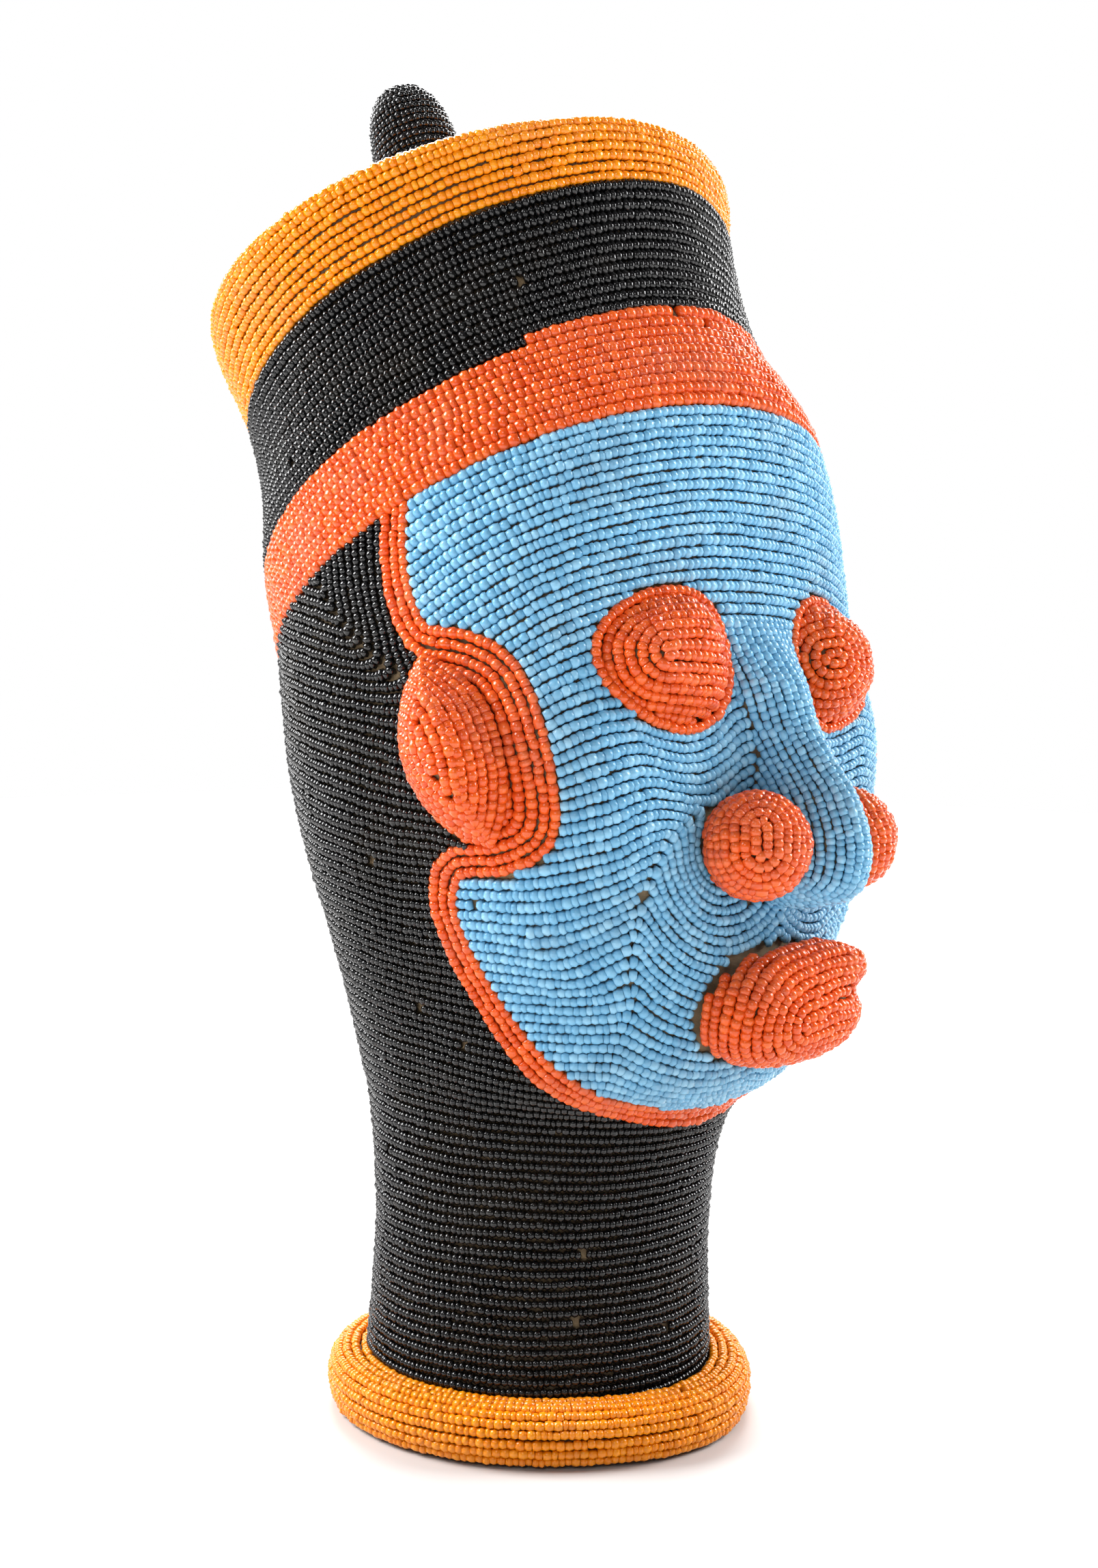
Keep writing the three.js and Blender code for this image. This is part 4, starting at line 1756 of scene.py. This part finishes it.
@dataclass(frozen=True)
class Bands:
    """The headband, the crown's black band and its orange rim, in rows of beads.

    Attributes:
        red_rows: of the headband.
        wider: how many more it has on its wide stretch.
        wide_turns: where that stretch starts and ends, in degrees from the front.
        black_rows: of the black band.
        tuck: how many rows the black band reaches in under the headband.
        stray: how much the rows of the two bands stray.
        rim_stray: how much the rim's rows stray.
    """

    red_rows: int = 9
    wider: float = 1.0
    wide_turns: tuple[float, float] = (-42.0, 120.0)
    black_rows: int = 14
    tuck: float = 0.3
    stray: float = 0.12
    rim_stray: float = 0.3

    def between(self, form: HeadForm, start: str, end: str, count: int, wave: Array) -> Array:
        """Rows counted up from one ring to another, with a whole number of them between the two.

        Args:
            form: the head.
            start: the lower ring's name.
            end: the upper ring's name.
            count: how many rows lie between them.
            wave: how rows stray over the head.

        Returns:
            The count at each grid point.
        """
        up, down = form.above(start), -form.above(end)
        share = up / (up + down)
        return share * count + self.stray * wave * np.clip(4 * share * (1 - share), 0, 1)

    def make(self, shop: Workshop, form: HeadForm, wave: Array) -> None:
        """Makes the beads of both bands and of the rim.

        Args:
            shop: where the pieces are made.
            form: the head.
            wave: how rows stray over the head.
        """
        turn = np.degrees((form.turn + math.pi) % (2 * math.pi) - math.pi)
        extra = self.wider * ((turn > self.wide_turns[0]) & (turn < self.wide_turns[1]))
        red = self.between(form, "hairline", "band_top", self.red_rows, wave)
        inside = np.minimum(red, self.red_rows + extra - red) * ROCAILLE.row
        lines = form.patch.trace(red, inside, 1.0)
        shop.beads("beads_headband", lines, ROCAILLE, Slot.RED, ("headband_beads",), 21)
        rim = form.above("rim_foot")
        black = self.between(form, "band_top", "rim_foot", self.black_rows, wave)
        inside = np.minimum(red - self.red_rows - extra, black + self.tuck) * ROCAILLE.row
        inside = np.minimum(inside, -rim)
        lines = form.patch.trace(black, inside, 1.0)
        shop.beads("beads_crown_band", lines, SMALL_BLACK, Slot.BLACK, ("crown_band_beads",), 22)
        inside = np.minimum(rim, -form.above("crest_foot"))
        lines = form.patch.trace(rim + self.rim_stray * wave, inside, SMALL_ROCAILLE.row)
        shop.beads("beads_crown_rim", lines, SMALL_ROCAILLE, Slot.ORANGE, ("crown_rim_beads",), 23)


@dataclass(frozen=True)
class FaceRows:
    """How the rows of the face run: down from the hairline, and round the eyes, nostrils and lips.

    Attributes:
        middle: the hairline ring's middle, seen from the side, from which rows are counted down.
        lean: of the first rows, in degrees.
        more_lean: how much more the lower rows lean.
        lean_over: the distance down in which they come to it.
        more_below: how much closer together the rows lie under the chin.
        below: the height at which that starts.
        level_to: how far inside the outline rows are level, and where they no longer are.
        level_below: the height at which rows by the outline start to be level, and where they are.
        at_eye: the row, as a distance down, that follows the eyes' rings.
        at_ball: the row that follows the nostril balls.
        at_lips: the row that follows the lips.
        lips_reach: how far to the side rows go round the lips.
        lips_above: the height over which they do.
        blend: how softly rows turn from one way to the other.
        blend_inner: the same between an eye and a ball.
        eye_ring: from the ring's middle line to its edge.
        clear_eye: how far rows reach in under the eye's ring.
        clear_lips: how far in under the lips.
        clear_nose: how far in under the nose.
        under_ball: how far in under a ball rows are worked out.
        held: how close to the hairline rows stay as they are.
        stray: how much rows stray.
    """

    middle: tuple[float, float] = (-2.5, 238.5)
    lean: float = 28.5
    more_lean: float = 9.5
    lean_over: float = 40.0
    more_below: float = 0.45
    below: float = 128.0
    level_to: tuple[float, float] = (14.0, 30.0)
    level_below: tuple[float, float] = (190.0, 168.0)
    at_eye: float = 77.5
    at_ball: float = 95.4
    at_lips: float = 110.3
    lips_reach: float = 24.0
    lips_above: float = 122.0
    blend: float = 2.0
    blend_inner: float = 6.0
    eye_ring: float = 1.4
    clear_eye: float = 0.9
    clear_lips: float = 1.2
    clear_nose: float = 1.8
    under_ball: float = 3.0
    held: float = 0.5
    stray: float = 0.6

    def down(self, points: Array) -> Array:
        """Distance down across rows that lean more and more the lower they lie.

        Args:
            points: three numbers each.

        Returns:
            One number for each point.
        """
        y, z = points[..., 1] - self.middle[0], points[..., 2] - self.middle[1]
        found = np.zeros(points.shape[:-1])
        for _ in range(6):
            share = np.clip(found / self.lean_over, 0, 1)
            lean = np.radians(self.lean + self.more_lean * share)
            found = -(y * np.sin(lean) + z * np.cos(lean))
        return found + self.more_below * np.maximum(self.below - points[..., 2], 0)

    def level_share(self, points: Array, inset: Array) -> Array:
        """How much the rows of the jaw follow level lines: fully by the outline, not at all inside.

        Args:
            points: three numbers each.
            inset: how far each lies inside the outline.

        Returns:
            A share for each point.
        """
        near = np.clip((self.level_to[1] - inset) / (self.level_to[1] - self.level_to[0]), 0, 1)
        high, full = self.level_below
        low = np.clip((high - points[..., 2]) / (high - full), 0, 1)
        return near * near * (3 - 2 * near) * low

    def field(self, patch: Patch, inset: Array, eye: Array, ball: Array,
              lips: Array) -> tuple[Array, Array]:
        """The whole face's field before its rows are made even.

        Args:
            patch: the head's surface.
            inset: how far its points lie inside the outline.
            eye: from the nearer eye.
            ball: from the nearer nostril ball.
            lips: from the lips.

        Returns:
            Distance down across the rows, and the way in which it should grow.
        """
        points = patch.points
        down = self.down(points)
        inner = soft_min(eye + self.at_eye, ball + self.at_ball, self.blend_inner)
        share = self.level_share(points, inset)[..., None]
        outer_way = unit(patch.slope(down)) * (1 - share) + unit(patch.slope(-points[..., 2])) * share
        near = np.clip(0.5 + 0.5 * (inner - down) / self.blend, 0, 1)
        way = unit(outer_way) * near[..., None] + unit(patch.slope(inner)) * (1 - near[..., None])
        rows = soft_min(down, inner, self.blend)
        over = self.at_lips - lips
        beside, high = np.abs(points[..., 0]), points[..., 2]
        above = (beside < self.lips_reach) & (high > self.lips_above) & (over > rows)
        way = np.where(above[..., None], unit(patch.slope(over)), way)
        return np.where(above, over, rows), way


@dataclass(frozen=True)
class BackRows:
    """How the black rows of the neck and of the back of the head run, as heights.

    Attributes:
        lean: how much the upper rows fall towards the front, in degrees.
        level_below: the height under which rows are level.
        leans_above: the height over which they lean fully.
        turn_height: where rows start to turn up beside the face.
        turn_radius: of that turn.
        split: the height at which the neck's piece ends and the back's starts.
        tuck: how far rows reach in under the outline's.
        stray: how much rows stray.
    """

    lean: float = 12.0
    level_below: float = 60.0
    leans_above: float = 110.0
    turn_height: float = 200.0
    turn_radius: float = 18.0
    split: float = 122.0
    tuck: float = 0.6
    stray: float = 0.4

    def field(self, points: Array, gap: Array) -> Array:
        """Rows lower in front, which turn up along the outline of the face at the temple.

        Args:
            points: of the head.
            gap: from the outline, towards the back.

        Returns:
            Height across the rows.
        """
        share = np.clip((points[..., 2] - self.level_below) / (self.leans_above - self.level_below), 0, 1)
        lean = np.radians(self.lean) * share * share * (3 - 2 * share)
        height = points[..., 2] * np.cos(lean) - points[..., 1] * np.sin(lean)
        over, beside = height - self.turn_height, np.maximum(gap, 0)
        bend = np.hypot(np.maximum(self.turn_radius - over, 0), np.maximum(self.turn_radius - beside, 0))
        nearer = np.minimum(over, beside)
        return self.turn_height + np.where(nearer > self.turn_radius, nearer, self.turn_radius - bend)


# The camera, the light and the floor


@dataclass(frozen=True)
class Lamp:
    """One soft square lamp that looks at the head.

    Attributes:
        name: the lamp's name.
        azimuth: where it stands, in degrees from the front towards +X.
        elevation: over the head's middle, in degrees.
        distance: from the head, in metres.
        size: of its side, in metres.
        power: in watts.
    """

    name: str
    azimuth: float
    elevation: float
    distance: float
    size: float
    power: float

    def hang(self) -> None:
        """Makes the lamp."""
        data = bpy.data.lights.new(self.name, "AREA")
        data.size, data.energy = self.size, self.power
        a, e = math.radians(self.azimuth), math.radians(self.elevation)
        target = Vector((0, 0, 0.2))
        away = Vector((math.sin(a) * math.cos(e), -math.cos(a) * math.cos(e), math.sin(e)))
        facing = (-away).to_track_quat("-Z", "Y").to_matrix().to_4x4()
        placed(self.name, data).matrix_world = Matrix.Translation(target + away * self.distance) @ facing


@dataclass(frozen=True)
class Studio:
    """A pale floor in soft light with a painted glow away from the head, and the camera at the photograph's
    viewing angle.
    """

    turn: float = 48.0
    distance: float = 558.7
    height: float = 200.2
    aside: float = 1.67
    pitch: float = 2.4
    roll: float = 0.53
    focal_pixels: float = 2855.7
    long_side_pixels: float = 2296.0
    sensor: float = 36.0
    glow_from: tuple[float, float] = (-0.1, 0.85)
    glow: tuple[float, float] = (0.12, 1.05)
    floor_half: float = 3.0
    floor_colour: Colour = (0.62, 0.61, 0.6)
    floor_roughness: float = 0.6
    # Where the floor's painted glow starts and where it is full, in metres from the head
    painted_glow_reach: tuple[float, float] = (0.12, 0.6)
    lamps: tuple[Lamp, ...] = (
        Lamp("softbox_key", -60, 27, 1.2, 0.45, 2.7),
        Lamp("softbox_right", 52, 30, 1.3, 0.7, 21),
        Lamp("softbox_left", -140, 36, 1.3, 0.8, 33),
        Lamp("softbox_behind", 132, 45, 1.3, 0.9, 24),
    )

    def camera(self) -> None:
        """Makes the scene's camera."""
        turn, pitch, roll = (math.radians(x) for x in (self.turn, self.pitch, self.roll))
        level = Vector((math.sin(turn), math.cos(turn), 0))
        right = Vector((math.cos(turn), -math.sin(turn), 0))
        place = -level * self.distance + Vector((0, 0, self.height)) + right * self.aside
        ahead = level * math.cos(pitch) - Vector((0, 0, math.sin(pitch)))
        up = right.cross(ahead)
        rolled = right * math.cos(roll) + up * math.sin(roll)
        upright = up * math.cos(roll) - right * math.sin(roll)
        data = bpy.data.cameras.new("camera")
        data.sensor_width = self.sensor
        data.lens = self.focal_pixels / self.long_side_pixels * self.sensor
        data.clip_start, data.clip_end = 0.05, 20
        axes = Matrix((rolled, upright, -ahead)).transposed().to_4x4()
        made = placed("camera", data)
        made.matrix_world = Matrix.Translation(place * MM) @ axes
        bpy.context.scene.camera = made

    def light(self) -> None:
        """Makes the lamps and the surroundings, brighter behind the head than before it."""
        for lamp in self.lamps:
            lamp.hang()
        world = bpy.data.worlds.new("studio")
        world.use_nodes = True
        wiring = Wiring(world.node_tree)
        place = wiring.add("ShaderNodeTexCoord")
        turn = math.radians(self.turn)
        ahead = wiring.add("ShaderNodeVectorMath", {
            0: place.outputs["Generated"], 1: (math.sin(turn), math.cos(turn), 0)}, operation="DOT_PRODUCT")
        glow = wiring.add("ShaderNodeMapRange", {
            "Value": ahead.outputs["Value"], "From Min": self.glow_from[0], "From Max": self.glow_from[1],
            "To Min": self.glow[0], "To Max": self.glow[1]}, interpolation_type="SMOOTHSTEP")
        rays = wiring.add("ShaderNodeLightPath")
        seen = wiring.add("ShaderNodeMix", {
            "Factor": rays.outputs["Is Camera Ray"], "A": glow.outputs["Result"], "B": 1.0},
            data_type="FLOAT")
        wiring.feed(world.node_tree.nodes["Background"], {
            "Color": (1, 1, 1, 1), "Strength": seen.outputs["Result"]})
        bpy.context.scene.world = world
        bpy.context.scene.view_settings.view_transform = "Standard"

    def floor(self) -> None:
        """Lays the floor, whose painted glow grows away from the head so that it fades into the
        surroundings; near the head only the lamps light it.
        """
        half = self.floor_half
        mesh = bpy.data.meshes.new("floor")
        mesh.from_pydata([(-half, -half, 0), (half, -half, 0), (half, half, 0), (-half, half, 0)],
                         [], [(0, 1, 2, 3)])
        material, wiring, shader = blank_material("pale floor")
        place = wiring.add("ShaderNodeTexCoord")
        reach = wiring.add("ShaderNodeVectorMath", {0: place.outputs["Object"]}, operation="LENGTH")
        # Painted light: the floor's emission grows from none near the head to full farther away
        glow = wiring.add("ShaderNodeMapRange", {
            "Value": reach.outputs["Value"], "From Min": self.painted_glow_reach[0], "From Max": self.painted_glow_reach[1],
            "To Min": 0.0, "To Max": 1.0}, interpolation_type="SMOOTHSTEP")
        wiring.feed(shader, {
            "Base Color": (*self.floor_colour, 1), "Roughness": self.floor_roughness,
            "Emission Color": (1, 1, 1, 1), "Emission Strength": glow.outputs["Result"]})
        mesh.materials.append(material)
        placed("floor", mesh)


@dataclass
class BeadedHead:
    """The whole head: its form, the rows over its surface and its raised parts.

    Attributes:
        shop: where the pieces are made.
        stray: how far rows stray, over waves of stray_size.
        cloth_under: how deep the cloth lies under the beads' outer surface.
    """

    shop: Workshop
    form: HeadForm = field(default_factory=HeadForm)
    outline: FaceOutline = FaceOutline()
    eyes: tuple[Eye, Eye] = (Eye(Side.LEFT, aside=1.5, seam=(-15, -12)),
                             Eye(Side.RIGHT, aside=8, seam=(-9, 15)))
    nostrils: tuple[Nostril, Nostril] = (Nostril(Side.LEFT), Nostril(Side.RIGHT))
    ears: tuple[Ear, Ear] = (Ear(Side.LEFT), Ear(Side.RIGHT))
    lips: Lips = Lips()
    nose: Nose = Nose()
    crest: Crest = Crest()
    foot: Foot = Foot()
    bands: Bands = Bands()
    face: FaceRows = FaceRows()
    back: BackRows = BackRows()
    stray: float = 0.45
    stray_size: float = 30.0
    cloth_under: float = 2.45
    patch: Patch = field(init=False)
    offset: Array = field(init=False)
    wave: Array = field(init=False)

    def __post_init__(self) -> None:
        """Works out what every field of beads needs."""
        self.patch = self.form.patch
        self.offset = self.outline.offset(self.patch)
        self.wave = self.stray * ripple(self.patch.points, self.stray_size, 3)

    def make(self) -> None:
        """Makes all pieces: the fields of beads from the foot up, the raised parts and the cloth."""
        self.foot.make(self.shop, seed=11)
        self.make_black()
        self.make_outline()
        self.make_face()
        self.bands.make(self.shop, self.form, self.wave)
        for k, parts in enumerate(zip(self.eyes, self.nostrils, self.ears)):
            for part, seed in zip(parts, (31, 33, 35)):
                part.make(self.shop, self.form, seed + k)
        self.lips.make(self.shop, self.form, seed=37)
        self.crest.make(self.shop, self.form, seed=38)
        self.make_cloth()

    def make_black(self) -> None:
        """The black rows of the neck and of the back of the head."""
        gap = -self.offset - self.outline.half_width()
        inside = np.minimum(gap + self.back.tuck, -self.form.above("hairline"))
        inside = np.minimum(inside, self.form.above("neck_foot"))
        for ear in self.ears:
            inside = np.minimum(inside, -ear.ground(self.form, gap))
        height = self.patch.points[..., 2]
        rows = self.back.field(self.patch.points, gap)
        rows = self.patch.evened(rows, self.patch.slope(rows), inside > -EVENED_MARGIN,
                                 height < self.back.level_below)
        rows += self.back.stray * self.wave
        split = self.back.split
        for name, part in (("beads_neck", split - height), ("beads_back", height - split)):
            lines = self.patch.trace(rows, np.minimum(inside, part), SMALL_BLACK.row)
            self.shop.beads(name, lines, SMALL_BLACK, Slot.BLACK, ("neck_and_back_beads",), 12)

    def make_outline(self) -> None:
        """The red rows that frame the face and the red ground before the ears."""
        half = self.outline.half_width()
        inside = np.minimum(half - np.abs(self.offset), -self.form.above("hairline"))
        for ear in self.ears:
            ground = ear.ground(self.form, -self.offset - half)
            inside = np.maximum(inside, np.minimum(ground, half - self.offset))
        lines = self.patch.trace(self.offset, inside, ROCAILLE.row, first=0.0)
        self.shop.beads("beads_outline", lines, ROCAILLE, Slot.RED, ("face_outline_beads",), 13)

    def face_rows(self) -> tuple[Array, Array]:
        """The face's field: how far down each point lies across the rows, and how far inside.

        Returns:
            Two numbers for each grid point of the head.
        """
        points, face = self.patch.points, self.face
        inset = self.offset - self.outline.half_width()
        eye = np.min([eye.outside(eye.seat(self.form).local(points)) for eye in self.eyes], axis=0)
        eye = eye - face.eye_ring
        ball = np.min([ball.outside(points) for ball in self.nostrils], axis=0)
        rows, way = face.field(self.patch, inset, eye, ball, self.lips.gap(points))
        below = -self.form.above("hairline")
        inside = np.minimum(inset, below)
        for gap in (eye + face.clear_eye, face.clear_lips - self.lips.covers(points),
                    face.clear_nose - self.nose.covers(points)):
            inside = np.minimum(inside, gap)
        near = np.minimum(inside, ball + face.under_ball) > -EVENED_MARGIN
        rows = self.patch.evened(rows, way, near, below < face.held)
        return rows + face.stray * self.wave, inside

    def make_face(self) -> None:
        """The blue rows of the face and the nose."""
        rows, inside = self.face_rows()
        kind = SMALL_ROCAILLE
        lines = self.patch.trace(rows, inside, kind.row) + self.nose.lines(self.form, kind.row)
        lines = [part for line in lines for part in self.clear_of_balls(line)]
        self.shop.beads("beads_face", lines, kind, Slot.BLUE, ("face_beads",), 14)

    def clear_of_balls(self, line: Array, tuck: float = 0.6) -> list[Array]:
        """The stretches of a line that lie outside the nostril balls or hardly inside them."""
        gap = np.min([ball.outside(line[:, :3]) + tuck for ball in self.nostrils], axis=0)
        return [part[:, :-1] for part in cut_to_inside(np.concatenate([line, gap[:, None]], axis=1))]

    def make_cloth(self) -> None:
        """The cloth over the whole form, a little below the beads."""
        forms = [(self.patch, 4), (replace(self.foot, turns=120).patch(), 1), (self.nose.patch(), 3),
                 (self.lips.patch(self.form), 4)]
        forms += [(eye.patch(self.form), 3) for eye in self.eyes]
        forms += [(ball.patch(), 4) for ball in self.nostrils]
        forms += [(ear.patch(self.form), 4) for ear in self.ears]
        points, faces, count = [], [], 0
        for patch, skip in forms:
            grid = (patch.points - self.cloth_under * patch.normals)[::skip, ::skip]
            grid = grid[:, ::-1] if patch.flip else grid
            points.append(grid.reshape(-1, 3))
            faces.append(quads(grid, patch.closed) + count)
            count += grid.shape[0] * grid.shape[1]
        self.shop.sheet("cloth_cover", np.concatenate(points), np.concatenate(faces), Slot.CLOTH,
                        ("carved_head",))


def main() -> None:
    """Builds the light, the camera and the head."""
    logging.basicConfig(level=logging.INFO, format="%(name)s: %(message)s")
    studio = Studio()
    studio.camera()
    studio.light()
    studio.floor()
    BeadedHead(Workshop()).make()
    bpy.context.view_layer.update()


if __name__ == "__main__":
    main()
